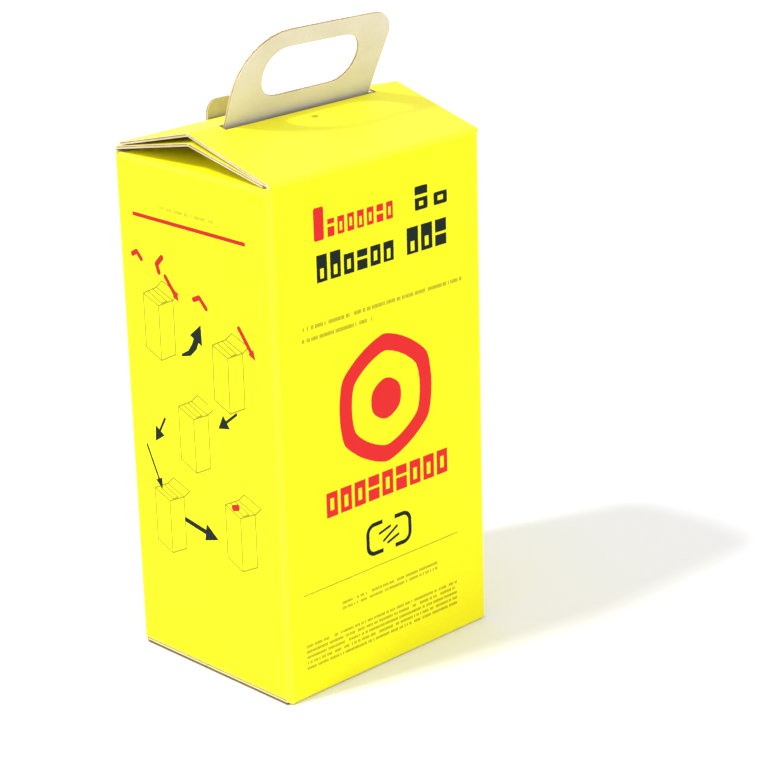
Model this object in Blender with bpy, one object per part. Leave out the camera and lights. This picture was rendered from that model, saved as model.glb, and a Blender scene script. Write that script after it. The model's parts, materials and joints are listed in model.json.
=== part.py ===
"""Folded cardboard safety box for used sharps, built panel by panel.

Frame: +X across the front, the front faces -Y, +Z up, origin on the floor under the
middle of the walls. Sizes are in metres. Every panel is a flat outline of corrugated
board, drawn in the plane of the panel and carried by an empty on the panel's crease.
"""
from math import atan2, cos, hypot, pi, radians, sin

import bmesh
import bpy
from mathutils import Matrix, Vector

WIDTH = 0.150
DEPTH = 0.121
CREASE_HEIGHT = 0.285
BOARD = 0.0016
GAP = 0.0003

RIDGE_RISE = 0.0166
INNER_RIDGE_RISE = 0.0115
SIDE_DROP = 0.0027
WALL_CLEARANCE = 0.0019
CREASE_SETBACK = 0.0008
ROOF_MARGIN = 0.0004

TAIL_REACH = 0.0568
TAIL_END_DROP = 0.0139

HANDLE_LEAN = radians(23)
HANDLE_ROOT_Y = 0.0005
HANDLE_ROOT_HALF = 0.0510
HANDLE_HALF = 0.0530
HANDLE_HEIGHT = 0.0565
HANDLE_LEFT_CORNER = 0.0330
HANDLE_RIGHT_CORNER = 0.0160
GRIP_HALF = 0.0330
GRIP_LOW = 0.0169
GRIP_HIGH = 0.0464
GRIP_CORNER = 0.0140
SLOT_HALF = 0.0537
SLOT_DEPTH = 0.0055

LID_HINGE_Y = 0.0433
LID_HALF = 0.0189
LID_LENGTH = 0.0341
LID_CORNER = 0.0050
LID_CLEARANCE = 0.0005
APERTURE_HALF = 0.0170
APERTURE_NEAR_Y = 0.0120
APERTURE_FAR_Y = 0.0400

TONGUE_HALF = 0.0110
TONGUE_RISE = 0.0125
TONGUE_CORNER = 0.0070
TONGUE_VOID_MARGIN = 0.0005

WING_INNER = 0.0534
WING_LENGTH = 0.0570
WING_DROP = 0.01215

DUST_ROOT_HALF = 0.0550
DUST_TIP_HALF = 0.0470
DUST_LENGTH = 0.0530
DUST_CORNER = 0.0080

SEAM_Y = 0.0080
BOTTOM_SIDE_REACH = 0.0500
BOTTOM_SIDE_HALF = 0.0560
BOTTOM_TONGUE_HALF = 0.0180
BOTTOM_TONGUE_LENGTH = 0.0200

GLUE_WIDTH = 0.0250
GLUE_TAPER = 0.0100
GLUE_LOW = 0.0100
GLUE_HIGH = 0.2600

ARC_STEPS = 6
X_AXIS = Vector((1, 0, 0))
Y_AXIS = Vector((0, 1, 0))
Z_AXIS = Vector((0, 0, 1))

YELLOW = (0.96, 0.88, 0.02, 1.0)
KRAFT = (0.72, 0.58, 0.36, 1.0)


def clear_scene():
    for thing in list(bpy.data.objects):
        bpy.data.objects.remove(thing, do_unlink=True)


def make_material(name, colour, roughness):
    material = bpy.data.materials.new(name)
    material.use_nodes = True
    shader = material.node_tree.nodes["Principled BSDF"]
    shader.inputs["Base Color"].default_value = colour
    shader.inputs["Roughness"].default_value = roughness
    shader.inputs["Metallic"].default_value = 0.0
    return material


def make_collection(name):
    collection = bpy.data.collections.new(name)
    bpy.context.scene.collection.children.link(collection)
    return collection


def rounded(corners):
    """Outline through (x, y, radius) corners, anticlockwise, with round corners as arcs."""
    points = []
    count = len(corners)
    for index, (x, y, radius) in enumerate(corners):
        here = Vector((x, y))
        if radius == 0:
            points.append(here)
            continue
        before = (Vector(corners[index - 1][:2]) - here).normalized()
        after = (Vector(corners[(index + 1) % count][:2]) - here).normalized()
        half_angle = before.angle(after) / 2
        reach = radius / abs(sin(half_angle) / cos(half_angle))
        centre = here + (before + after).normalized() * (radius / sin(half_angle))
        start = here + before * reach - centre
        turn = after.cross(before)
        sweep = (pi - 2 * half_angle) * (1 if turn > 0 else -1)
        for step in range(ARC_STEPS + 1):
            angle = sweep * step / ARC_STEPS
            spun = Vector((start.x * cos(angle) - start.y * sin(angle),
                           start.x * sin(angle) + start.y * cos(angle)))
            points.append(centre + spun)
    return points


def box_outline(half, low, high, radius=0.0):
    return rounded([(-half, low, radius), (half, low, radius), (half, high, radius), (-half, high, radius)])


def span_outline(left, right, low, high):
    return rounded([(left, low, 0), (right, low, 0), (right, high, 0), (left, high, 0)])


class Carton:
    """Keeps the collection and the materials while panels are added."""

    def __init__(self):
        self.collection = make_collection("safety_box")
        self.yellow = make_material("yellow_board", YELLOW, 0.45)
        self.kraft = make_material("kraft_board", KRAFT, 0.85)

    def crease(self, name, origin, away, outward):
        """Empty on a crease: its X runs along the crease, Y away from it, Z out of the board."""
        along = away.cross(outward)
        turn = Matrix((along, away, outward)).transposed().to_4x4()
        empty = bpy.data.objects.new(name + "_crease", None)
        empty.empty_display_size = 0.01
        empty.matrix_world = Matrix.Translation(origin) @ turn
        self.collection.objects.link(empty)
        return empty

    def panel(self, name, origin, away, outward, outlines, material=None, lift=0.0):
        """One board panel whose outer face lies lift above the axis of its crease."""
        crease = self.crease(name, origin, away, outward)
        curve = bpy.data.curves.new(name, "CURVE")
        curve.dimensions = "2D"
        curve.fill_mode = "BOTH"
        curve.extrude = BOARD / 2
        for outline in outlines:
            spline = curve.splines.new("POLY")
            spline.points.add(len(outline) - 1)
            for point, place in zip(spline.points, outline):
                point.co = (place.x, place.y, 0, 1)
            spline.use_cyclic_u = True
        drawn = bpy.data.objects.new(name + "_outline", curve)
        self.collection.objects.link(drawn)
        bpy.context.view_layer.update()
        graph = bpy.context.evaluated_depsgraph_get()
        mesh = bpy.data.meshes.new_from_object(drawn.evaluated_get(graph))
        bpy.data.objects.remove(drawn, do_unlink=True)
        weld(mesh)
        mesh.materials.append(material or self.yellow)
        board = bpy.data.objects.new(name, mesh)
        board.parent = crease
        board.location = (0, 0, lift - BOARD / 2)
        self.collection.objects.link(board)
        return board


def weld(mesh):
    edit = bmesh.new()
    edit.from_mesh(mesh)
    bmesh.ops.remove_doubles(edit, verts=edit.verts, dist=0.00001)
    bmesh.ops.recalc_face_normals(edit, faces=edit.faces)
    edit.to_mesh(mesh)
    edit.free()


def slope(reach, rise):
    """Direction, outward normal and length of a roof slope that runs along +Y."""
    angle = atan2(rise, reach)
    away = Vector((0, cos(angle), sin(angle)))
    outward = Vector((0, -sin(angle), cos(angle)))
    return away, outward, hypot(reach, rise)


def flipped(vector):
    return Vector((vector.x, -vector.y, vector.z))


def add_walls(carton):
    top = CREASE_HEIGHT - WALL_CLEARANCE
    front = box_outline(WIDTH / 2, 0, top)
    carton.panel("front_wall", Vector((0, -DEPTH / 2, 0)), Z_AXIS, -Y_AXIS, [front])

    back_root = Vector((0, DEPTH / 2, 0))
    carton.panel("back_wall", back_root, Z_AXIS, Y_AXIS, [box_outline(WIDTH / 2, 0, top)])
    tongue_top = CREASE_HEIGHT + TONGUE_RISE
    tongue = rounded([(-TONGUE_HALF, top + GAP, 0), (TONGUE_HALF, top + GAP, 0),
                      (TONGUE_HALF, tongue_top, TONGUE_CORNER), (-TONGUE_HALF, tongue_top, TONGUE_CORNER)])
    carton.panel("roof_lock_tongue", back_root, Z_AXIS, Y_AXIS, [tongue])

    side_top = CREASE_HEIGHT - SIDE_DROP - BOARD - GAP
    side = box_outline(DEPTH / 2 - BOARD - GAP, BOARD + GAP, side_top)
    for name, sign in (("left_wall", -1), ("right_wall", 1)):
        carton.panel(name, Vector((sign * WIDTH / 2, 0, 0)), Z_AXIS, sign * X_AXIS, [side])


def add_glue_flap(carton):
    """Narrow flap of the back wall, glued to the inner face of the right wall."""
    face_x = WIDTH / 2 - BOARD - GAP
    root_y = DEPTH / 2 - BOARD - GAP
    outline = rounded([(GLUE_LOW, 0, 0), (GLUE_HIGH, 0, 0),
                       (GLUE_HIGH - GLUE_TAPER, GLUE_WIDTH, 0), (GLUE_LOW + GLUE_TAPER, GLUE_WIDTH, 0)])
    carton.panel("glue_flap", Vector((face_x, root_y, 0)), -Y_AXIS, X_AXIS, [outline], carton.kraft)


def add_bottom(carton):
    inside = BOARD + GAP
    wall_inside = DEPTH / 2 - inside
    front = box_outline(WIDTH / 2, 0, wall_inside + SEAM_Y - GAP)
    carton.panel("bottom_flap_front", Vector((0, -wall_inside, 0)), Y_AXIS, -Z_AXIS, [front])
    back = box_outline(WIDTH / 2, 0, wall_inside - SEAM_Y)
    carton.panel("bottom_flap_back", Vector((0, wall_inside, 0)), -Y_AXIS, -Z_AXIS, [back])

    tongue = rounded([(-BOTTOM_TONGUE_HALF, 0, 0), (BOTTOM_TONGUE_HALF, 0, 0),
                      (BOTTOM_TONGUE_HALF, BOTTOM_TONGUE_LENGTH, TONGUE_CORNER),
                      (-BOTTOM_TONGUE_HALF, BOTTOM_TONGUE_LENGTH, TONGUE_CORNER)])
    carton.panel("bottom_lock_tongue", Vector((0, SEAM_Y, inside)), Y_AXIS, -Z_AXIS, [tongue])

    side = box_outline(BOTTOM_SIDE_HALF, 0, BOTTOM_SIDE_REACH)
    for name, sign in (("bottom_flap_left", -1), ("bottom_flap_right", 1)):
        root = Vector((sign * (WIDTH / 2 - inside), 0, inside))
        carton.panel(name, root, -sign * X_AXIS, -Z_AXIS, [side])


def add_dust_flaps(carton):
    """Side flaps folded flat under the roof, hinged on the inner top edge of each side wall."""
    lift = BOARD + GAP
    axis_z = CREASE_HEIGHT - SIDE_DROP - lift
    outline = rounded([(-DUST_ROOT_HALF, GAP, 0), (DUST_ROOT_HALF, GAP, 0),
                       (DUST_TIP_HALF, DUST_LENGTH, DUST_CORNER), (-DUST_TIP_HALF, DUST_LENGTH, DUST_CORNER)])
    for name, sign in (("dust_flap_left", -1), ("dust_flap_right", 1)):
        root = Vector((sign * (WIDTH / 2 - BOARD), 0, axis_z))
        carton.panel(name, root, -sign * X_AXIS, Z_AXIS, [outline], lift=lift)


def add_inner_roof(carton):
    """Lower roof layer: the back slope with the disposal aperture, and a wing on each side."""
    away, outward, length = slope(DEPTH / 2, INNER_RIDGE_RISE)
    tilt = away.y
    half = WIDTH / 2 - ROOF_MARGIN
    void_half = TONGUE_HALF + TONGUE_VOID_MARGIN
    void_depth = TONGUE_RISE + TONGUE_VOID_MARGIN
    sheet = rounded([(-half, CREASE_SETBACK, 0), (-void_half, CREASE_SETBACK, 0),
                     (-void_half, void_depth, TONGUE_CORNER), (void_half, void_depth, TONGUE_CORNER),
                     (void_half, CREASE_SETBACK, 0), (half, CREASE_SETBACK, 0),
                     (half, length - CREASE_SETBACK, 0), (-half, length - CREASE_SETBACK, 0)])
    near = (DEPTH / 2 - APERTURE_FAR_Y) / tilt
    far = (DEPTH / 2 - APERTURE_NEAR_Y) / tilt
    aperture = box_outline(APERTURE_HALF, near, far, LID_CORNER)
    crease = Vector((0, DEPTH / 2, CREASE_HEIGHT))
    carton.panel("back_roof_panel", crease, flipped(away), flipped(outward), [sheet, aperture])

    away, outward, _ = slope(WING_LENGTH, WING_DROP)
    away = Vector((0, -away.y, -away.z))
    middle = (WING_INNER + half) / 2
    wing = box_outline(half - middle, CREASE_SETBACK, WING_LENGTH)
    ridge_z = CREASE_HEIGHT + INNER_RIDGE_RISE
    for name, sign in (("roof_wing_left", -1), ("roof_wing_right", 1)):
        carton.panel(name, Vector((sign * middle, 0, ridge_z)), away, outward, [wing])


def add_handle(carton):
    """Carrying handle, hinged on the ridge of the lower layer and leaning to the front."""
    root = Vector((0, HANDLE_ROOT_Y, CREASE_HEIGHT + INNER_RIDGE_RISE))
    away = Vector((0, -sin(HANDLE_LEAN), cos(HANDLE_LEAN)))
    outward = Vector((0, cos(HANDLE_LEAN), sin(HANDLE_LEAN)))
    low = CREASE_SETBACK * 2
    outer = rounded([(-HANDLE_ROOT_HALF, low, 0), (HANDLE_ROOT_HALF, low, 0),
                     (HANDLE_HALF, HANDLE_HEIGHT, HANDLE_LEFT_CORNER),
                     (-HANDLE_HALF, HANDLE_HEIGHT, HANDLE_RIGHT_CORNER)])
    grip = box_outline(GRIP_HALF, GRIP_LOW, GRIP_HIGH, GRIP_CORNER)
    carton.panel("handle", root, away, outward, [outer, grip], carton.kraft, lift=BOARD / 2)


def add_outer_roof(carton):
    """Upper roof layer: the front slope with the handle slot, its tail, and the disposal lid."""
    half = WIDTH / 2 - ROOF_MARGIN
    away, outward, length = slope(DEPTH / 2, RIDGE_RISE)
    edge = length - CREASE_SETBACK
    sheet = rounded([(-half, CREASE_SETBACK, 0), (half, CREASE_SETBACK, 0), (half, edge, 0),
                     (SLOT_HALF, edge, 0), (SLOT_HALF, length - SLOT_DEPTH, 0),
                     (-SLOT_HALF, length - SLOT_DEPTH, 0), (-SLOT_HALF, edge, 0), (-half, edge, 0)])
    carton.panel("front_roof_panel", Vector((0, -DEPTH / 2, CREASE_HEIGHT)), away, outward, [sheet])

    rise, normal, length = slope(TAIL_REACH, TAIL_END_DROP)
    away = Vector((0, rise.y, -rise.z))
    outward = flipped(normal)
    lid_hinge = LID_HINGE_Y / away.y
    tail = box_outline(half, CREASE_SETBACK, length)
    window_start = lid_hinge - LID_LENGTH - LID_CLEARANCE
    window = box_outline(LID_HALF + LID_CLEARANCE, window_start, lid_hinge + GAP)
    ridge = Vector((0, 0, CREASE_HEIGHT + RIDGE_RISE))
    carton.panel("front_roof_tail", ridge, away, outward, [tail, window])

    lid = rounded([(-LID_HALF, CREASE_SETBACK, 0), (LID_HALF, CREASE_SETBACK, 0),
                   (LID_HALF, LID_LENGTH, LID_CORNER), (-LID_HALF, LID_LENGTH, LID_CORNER)])
    carton.panel("disposal_lid", ridge + away * lid_hinge, -away, outward, [lid])


def main():
    clear_scene()
    carton = Carton()
    add_walls(carton)
    add_glue_flap(carton)
    add_bottom(carton)
    add_dust_flaps(carton)
    add_inner_roof(carton)
    add_handle(carton)
    add_outer_roof(carton)


main()
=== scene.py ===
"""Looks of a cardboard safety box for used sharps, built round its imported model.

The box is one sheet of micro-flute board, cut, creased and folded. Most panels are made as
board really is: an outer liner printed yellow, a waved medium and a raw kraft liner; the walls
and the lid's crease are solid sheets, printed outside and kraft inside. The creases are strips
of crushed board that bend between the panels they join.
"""

import json
import logging
import math
from contextlib import contextmanager
from dataclasses import dataclass, field
from enum import Enum
from typing import Callable, Iterator, Sequence

import bpy
from mathutils import Matrix, Vector

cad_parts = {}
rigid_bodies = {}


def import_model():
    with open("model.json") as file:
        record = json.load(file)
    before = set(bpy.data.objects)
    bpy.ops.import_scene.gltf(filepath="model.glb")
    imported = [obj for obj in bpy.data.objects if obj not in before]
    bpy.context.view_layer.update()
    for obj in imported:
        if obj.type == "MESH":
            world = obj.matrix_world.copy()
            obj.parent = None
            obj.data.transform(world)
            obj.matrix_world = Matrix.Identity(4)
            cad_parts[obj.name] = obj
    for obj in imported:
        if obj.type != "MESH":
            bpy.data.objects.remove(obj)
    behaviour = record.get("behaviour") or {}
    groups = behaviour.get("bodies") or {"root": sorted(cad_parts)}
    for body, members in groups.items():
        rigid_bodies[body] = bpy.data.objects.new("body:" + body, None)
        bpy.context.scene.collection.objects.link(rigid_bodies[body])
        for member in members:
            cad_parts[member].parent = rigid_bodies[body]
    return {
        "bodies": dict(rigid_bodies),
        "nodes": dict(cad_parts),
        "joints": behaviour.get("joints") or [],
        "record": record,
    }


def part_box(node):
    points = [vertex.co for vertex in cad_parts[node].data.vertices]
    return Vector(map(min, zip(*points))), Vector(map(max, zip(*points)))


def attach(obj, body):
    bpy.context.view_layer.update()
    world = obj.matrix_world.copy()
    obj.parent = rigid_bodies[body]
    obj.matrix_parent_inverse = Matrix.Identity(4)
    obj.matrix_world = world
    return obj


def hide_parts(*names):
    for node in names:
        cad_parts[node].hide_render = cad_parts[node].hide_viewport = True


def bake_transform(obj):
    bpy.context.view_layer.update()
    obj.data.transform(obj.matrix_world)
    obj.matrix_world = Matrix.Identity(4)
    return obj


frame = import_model()

LOG = logging.getLogger("safety_box")

MM = 0.001
TOLERANCE = 0.02 * MM
CUT_REACH = 10 * MM
FLUTE_PITCH = 3.4 * MM

Point = tuple[float, float]


class Axis(Enum):
    """World directions that panels and folds are laid along."""

    X = Vector((1, 0, 0))
    Y = Vector((0, 1, 0))
    Z = Vector((0, 0, 1))


class Face(Enum):
    """Material slots of every board piece, in order."""

    PRINTED = 0
    KRAFT = 1
    CUT = 2


# ---------------------------------------------------------------- bench tools


def deselect_all() -> None:
    """Clear the selection, so that the next operator acts on one object only."""
    bpy.ops.object.select_all(action="DESELECT")


def pick(thing: bpy.types.Object) -> None:
    """Make one object the only selected and the active one.

    Args:
        thing: The object to work on.
    """
    deselect_all()
    thing.select_set(True)
    bpy.context.view_layer.objects.active = thing


@contextmanager
def editing(thing: bpy.types.Object, mode: str = "EDGE") -> Iterator[None]:
    """Keep an object in edit mode for the length of a with block, with nothing selected.

    Args:
        thing: The object to edit.
        mode: VERT, EDGE or FACE.
    """
    pick(thing)
    bpy.ops.object.mode_set(mode="EDIT")
    bpy.ops.mesh.select_mode(type=mode)
    bpy.ops.mesh.select_all(action="DESELECT")
    try:
        yield
    finally:
        bpy.ops.object.mode_set(mode="OBJECT")


def select_where(thing: bpy.types.Object, mode: str, test: Callable[[Vector, Vector], bool]) -> None:
    """Select vertices, edges or faces of an object in edit mode by place and direction.

    Args:
        thing: The object, in edit mode.
        mode: VERT, EDGE or FACE.
        test: Takes the middle and the direction (an edge's run or a face's normal).
    """
    bpy.ops.object.mode_set(mode="OBJECT")
    mesh = thing.data
    chosen = []
    if mode == "VERT":
        chosen = [v for v in mesh.vertices if test(v.co, v.normal)]
    elif mode == "EDGE":
        for edge in mesh.edges:
            start, end = (mesh.vertices[i].co for i in edge.vertices)
            if test((start + end) / 2, (end - start).normalized()):
                chosen.append(edge)
    else:
        chosen = [f for f in mesh.polygons if test(f.center, f.normal)]
    for element in chosen:
        element.select = True
    bpy.ops.object.mode_set(mode="EDIT")


def settle(thing: bpy.types.Object, name: str) -> bpy.types.Object:
    """Name an object and bake its place, turn and scale into its mesh.

    Args:
        thing: The object to settle.
        name: Its new name, which its mesh takes too.

    Returns:
        The same object.
    """
    pick(thing)
    bpy.ops.object.transform_apply(location=True, rotation=True, scale=True)
    thing.name = name
    thing.data.name = name
    return thing


def lay(thing: bpy.types.Object, frame: Matrix) -> bpy.types.Object:
    """Carry a finished flat piece to its place and bake the place into its mesh.

    Args:
        thing: A piece made about the origin.
        frame: The place of the panel: X along its crease, Y away from it, Z out of the board.

    Returns:
        The same object.
    """
    thing.matrix_world = frame
    return settle(thing, thing.name)


def apply_modifier(thing: bpy.types.Object, kind: str, **settings: object) -> None:
    """Add a modifier, set it and apply it.

    Args:
        thing: The object to change.
        kind: The modifier's type.
        **settings: Its settings by name.
    """
    pick(thing)
    modifier = thing.modifiers.new(kind.lower(), kind)
    for key, value in settings.items():
        setattr(modifier, key, value)
    bpy.ops.object.modifier_apply(modifier=modifier.name)


def combine(thing: bpy.types.Object, tool: bpy.types.Object, operation: str) -> None:
    """Boolean two closed meshes and throw the tool away.

    Args:
        thing: The mesh that is kept.
        tool: The mesh that cuts it.
        operation: DIFFERENCE or INTERSECT.
    """
    apply_modifier(thing, "BOOLEAN", object=tool, operation=operation, solver="EXACT")
    bpy.data.objects.remove(tool, do_unlink=True)


def join(pieces: Sequence[bpy.types.Object], name: str) -> bpy.types.Object:
    """Join objects into one.

    Args:
        pieces: The objects, the first of which is kept.
        name: The name of the result.

    Returns:
        The joined object.
    """
    pick(pieces[0])
    for piece in pieces[1:]:
        piece.select_set(True)
    bpy.ops.object.join()
    return settle(pieces[0], name)


def slab(name: str, low: Sequence[float], high: Sequence[float]) -> bpy.types.Object:
    """Add a block between two corners, ready to be shaped.

    Args:
        name: The block's name.
        low: Lowest corner.
        high: Highest corner.

    Returns:
        The block, settled.
    """
    deselect_all()
    start, end = Vector(low), Vector(high)
    bpy.ops.mesh.primitive_cube_add(size=1, location=(start + end) / 2, scale=end - start)
    return settle(bpy.context.object, name)


def round_corners(
    thing: bpy.types.Object, radius: float, test: Callable[[Vector], bool], segments: int = 8
) -> None:
    """Round the upright edges of a block where a test on their middle holds.

    Args:
        thing: The block.
        radius: Corner radius.
        test: Says which edges, by their middle.
        segments: Facets round each corner.
    """
    with editing(thing):
        select_where(thing, "EDGE", lambda at, run: abs(run.z) > 0.99 and test(at))
        bpy.ops.mesh.bevel(
            offset=radius, offset_type="OFFSET", segments=segments, profile=0.5, affect="EDGES"
        )


def score_lines(thing: bpy.types.Object, across: Sequence[float], along: Sequence[float]) -> None:
    """Divide a flat piece along straight lines, so that it can bend between them.

    Args:
        thing: A piece made about the origin in its XY plane.
        across: Where lines of constant X run.
        along: Where lines of constant Y run.
    """
    with editing(thing, "VERT"):
        for x in across:
            bpy.ops.mesh.select_all(action="SELECT")
            bpy.ops.mesh.bisect(plane_co=(x, 0, 0), plane_no=(1, 0, 0))
        for y in along:
            bpy.ops.mesh.select_all(action="SELECT")
            bpy.ops.mesh.bisect(plane_co=(0, y, 0), plane_no=(0, 1, 0))


def steps(low: float, high: float, pitch: float) -> list[float]:
    """Evenly spaced values strictly between two limits.

    Args:
        low: Lower limit.
        high: Upper limit.
        pitch: The spacing aimed for.

    Returns:
        The values, lowest first.
    """
    count = max(1, round((high - low) / pitch))
    return [low + (high - low) * index / count for index in range(1, count)]


def press(thing: bpy.types.Object, at: Sequence[float], push: Sequence[float], reach: float) -> None:
    """Push the board near a point, as a thumb does, fading out over a distance.

    Args:
        thing: The piece.
        at: Middle of the push.
        push: How far the middle moves.
        reach: Radius within which the rest follows.
    """
    middle = Vector(at)
    nearest = min((v.co - middle).length for v in thing.data.vertices)
    with editing(thing, "VERT"):
        select_where(thing, "VERT", lambda co, _: (co - middle).length <= nearest + TOLERANCE)
        bpy.ops.transform.translate(
            value=push,
            use_proportional_edit=True,
            proportional_edit_falloff="SMOOTH",
            proportional_size=reach,
            use_proportional_connected=False,
        )


def shade(thing: bpy.types.Object, degrees: float = 30) -> None:
    """Shade smooth across edges flatter than an angle.

    Args:
        thing: The piece.
        degrees: The angle.
    """
    pick(thing)
    bpy.ops.object.shade_smooth_by_angle(angle=math.radians(degrees))


# ------------------------------------------------------------------- the frame


def panel_frame(origin: Vector, away: Vector, outward: Vector) -> Matrix:
    """Frame of a panel whose outer face holds its crease.

    Args:
        origin: A point on the crease.
        away: Unit direction from the crease into the panel.
        outward: Unit normal of the printed face.

    Returns:
        The matrix with X along the crease, Y away from it and Z outward.
    """
    along = away.cross(outward)
    return Matrix.Translation(origin) @ Matrix((along, away, outward)).transposed().to_4x4()


@dataclass(frozen=True)
class Slope:
    """A roof slope seen from the side, from its crease up or down to its far edge.

    Attributes:
        crease: Where it starts.
        away: Unit direction across the panel.
        outward: Unit normal of its printed face.
        length: Distance from crease to far edge.
    """

    crease: Vector
    away: Vector
    outward: Vector
    length: float

    @classmethod
    def between(cls, start: Vector, end: Vector) -> "Slope":
        """Slope from one crease to the other, with its printed face upwards.

        Args:
            start: The crease it hangs on.
            end: Its far edge.

        Returns:
            The slope.
        """
        run = end - start
        away = run.normalized()
        normal = away.cross(Axis.X.value)
        if normal.z < 0:
            normal.negate()
        return cls(start, away, normal, run.length)

    def frame(self, shift: float = 0.0) -> Matrix:
        """Panel frame on the crease, moved along X.

        Args:
            shift: Distance along world X.

        Returns:
            The frame.
        """
        return panel_frame(self.crease + Axis.X.value * shift, self.away, self.outward)

    def at(self, reach: float) -> Vector:
        """Point on the slope at a distance from its crease."""
        return self.crease + self.away * reach


class Plan:
    """Sizes and places of the folded sheet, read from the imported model.

    Attributes:
        board: Thickness of the board.
        half_width: Half of the width over the walls.
        half_depth: Half of the depth over the walls.
        joints: Position of each joint by name.
    """

    def __init__(self, joints: Sequence[dict]) -> None:
        """Read the driving sizes.

        Args:
            joints: The joints that the frame lists.
        """
        front_low, front_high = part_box("front_wall")
        self.board = front_high.y - front_low.y
        self.half_width = front_high.x
        self.half_depth = -front_low.y
        self.joints = {joint["name"]: Vector(joint["pos_m"]) for joint in joints}
        self.front_crease = self.joints["roof_flap_fold"]
        self.back_crease = Vector((0, self.half_depth, self.front_crease.z))
        self.ridge = self.joints["roof_tail_fold"]
        self.inner_ridge = Vector((0, 0, self.joints["handle_lean"].z))
        self.side_crease_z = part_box("dust_flap_left")[1].z
        self.roof_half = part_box("front_roof_panel")[1].x

    def front_slope(self) -> Slope:
        """Upper layer in front of the ridge."""
        return Slope.between(self.front_crease, self.ridge)

    def tail_slope(self) -> Slope:
        """Upper layer behind the ridge."""
        lid_hinge = self.joints["lid_fold"]
        away = (lid_hinge - self.ridge).normalized()
        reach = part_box("front_roof_tail")[1].y / away.y
        return Slope.between(self.ridge, self.ridge + away * reach)

    def lid_slope(self) -> Slope:
        """Disposal lid, from its crease towards the ridge."""
        tail = self.tail_slope()
        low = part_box("disposal_lid")[0]
        hinge = self.joints["lid_fold"]
        return Slope.between(hinge, hinge - tail.away * ((hinge.y - low.y) / tail.away.y))

    def inner_back_slope(self) -> Slope:
        """Lower layer behind the ridge."""
        return Slope.between(self.back_crease, self.inner_ridge)

    def wing_slope(self) -> Slope:
        """Lower layer in front of the ridge."""
        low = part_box("roof_wing_left")[0]
        # the lowest corner belongs to the kraft face, one board below the printed one
        flat = Vector((0, low.y, low.z + self.board))
        return Slope.between(self.inner_ridge, flat)


# --------------------------------------------------------------- board pieces


@dataclass(frozen=True)
class Hole:
    """A die-cut opening in a panel, in the panel's own plane.

    Attributes:
        half: Half width.
        near: Edge nearest to the crease.
        far: Edge farthest from the crease.
        radius: Corner radius.
        square_far: Whether the two far corners stay square.
    """

    half: float
    near: float
    far: float
    radius: float = 0.0
    square_far: bool = False

    def cutter(self) -> bpy.types.Object:
        """Block that cuts the opening through any board."""
        block = slab("cutter", (-self.half, self.near, -CUT_REACH), (self.half, self.far, CUT_REACH))
        if self.radius:
            limit = (self.near + self.far) / 2 if self.square_far else self.far + MM
            round_corners(block, self.radius, lambda at: at.y < limit)
        return block


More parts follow.
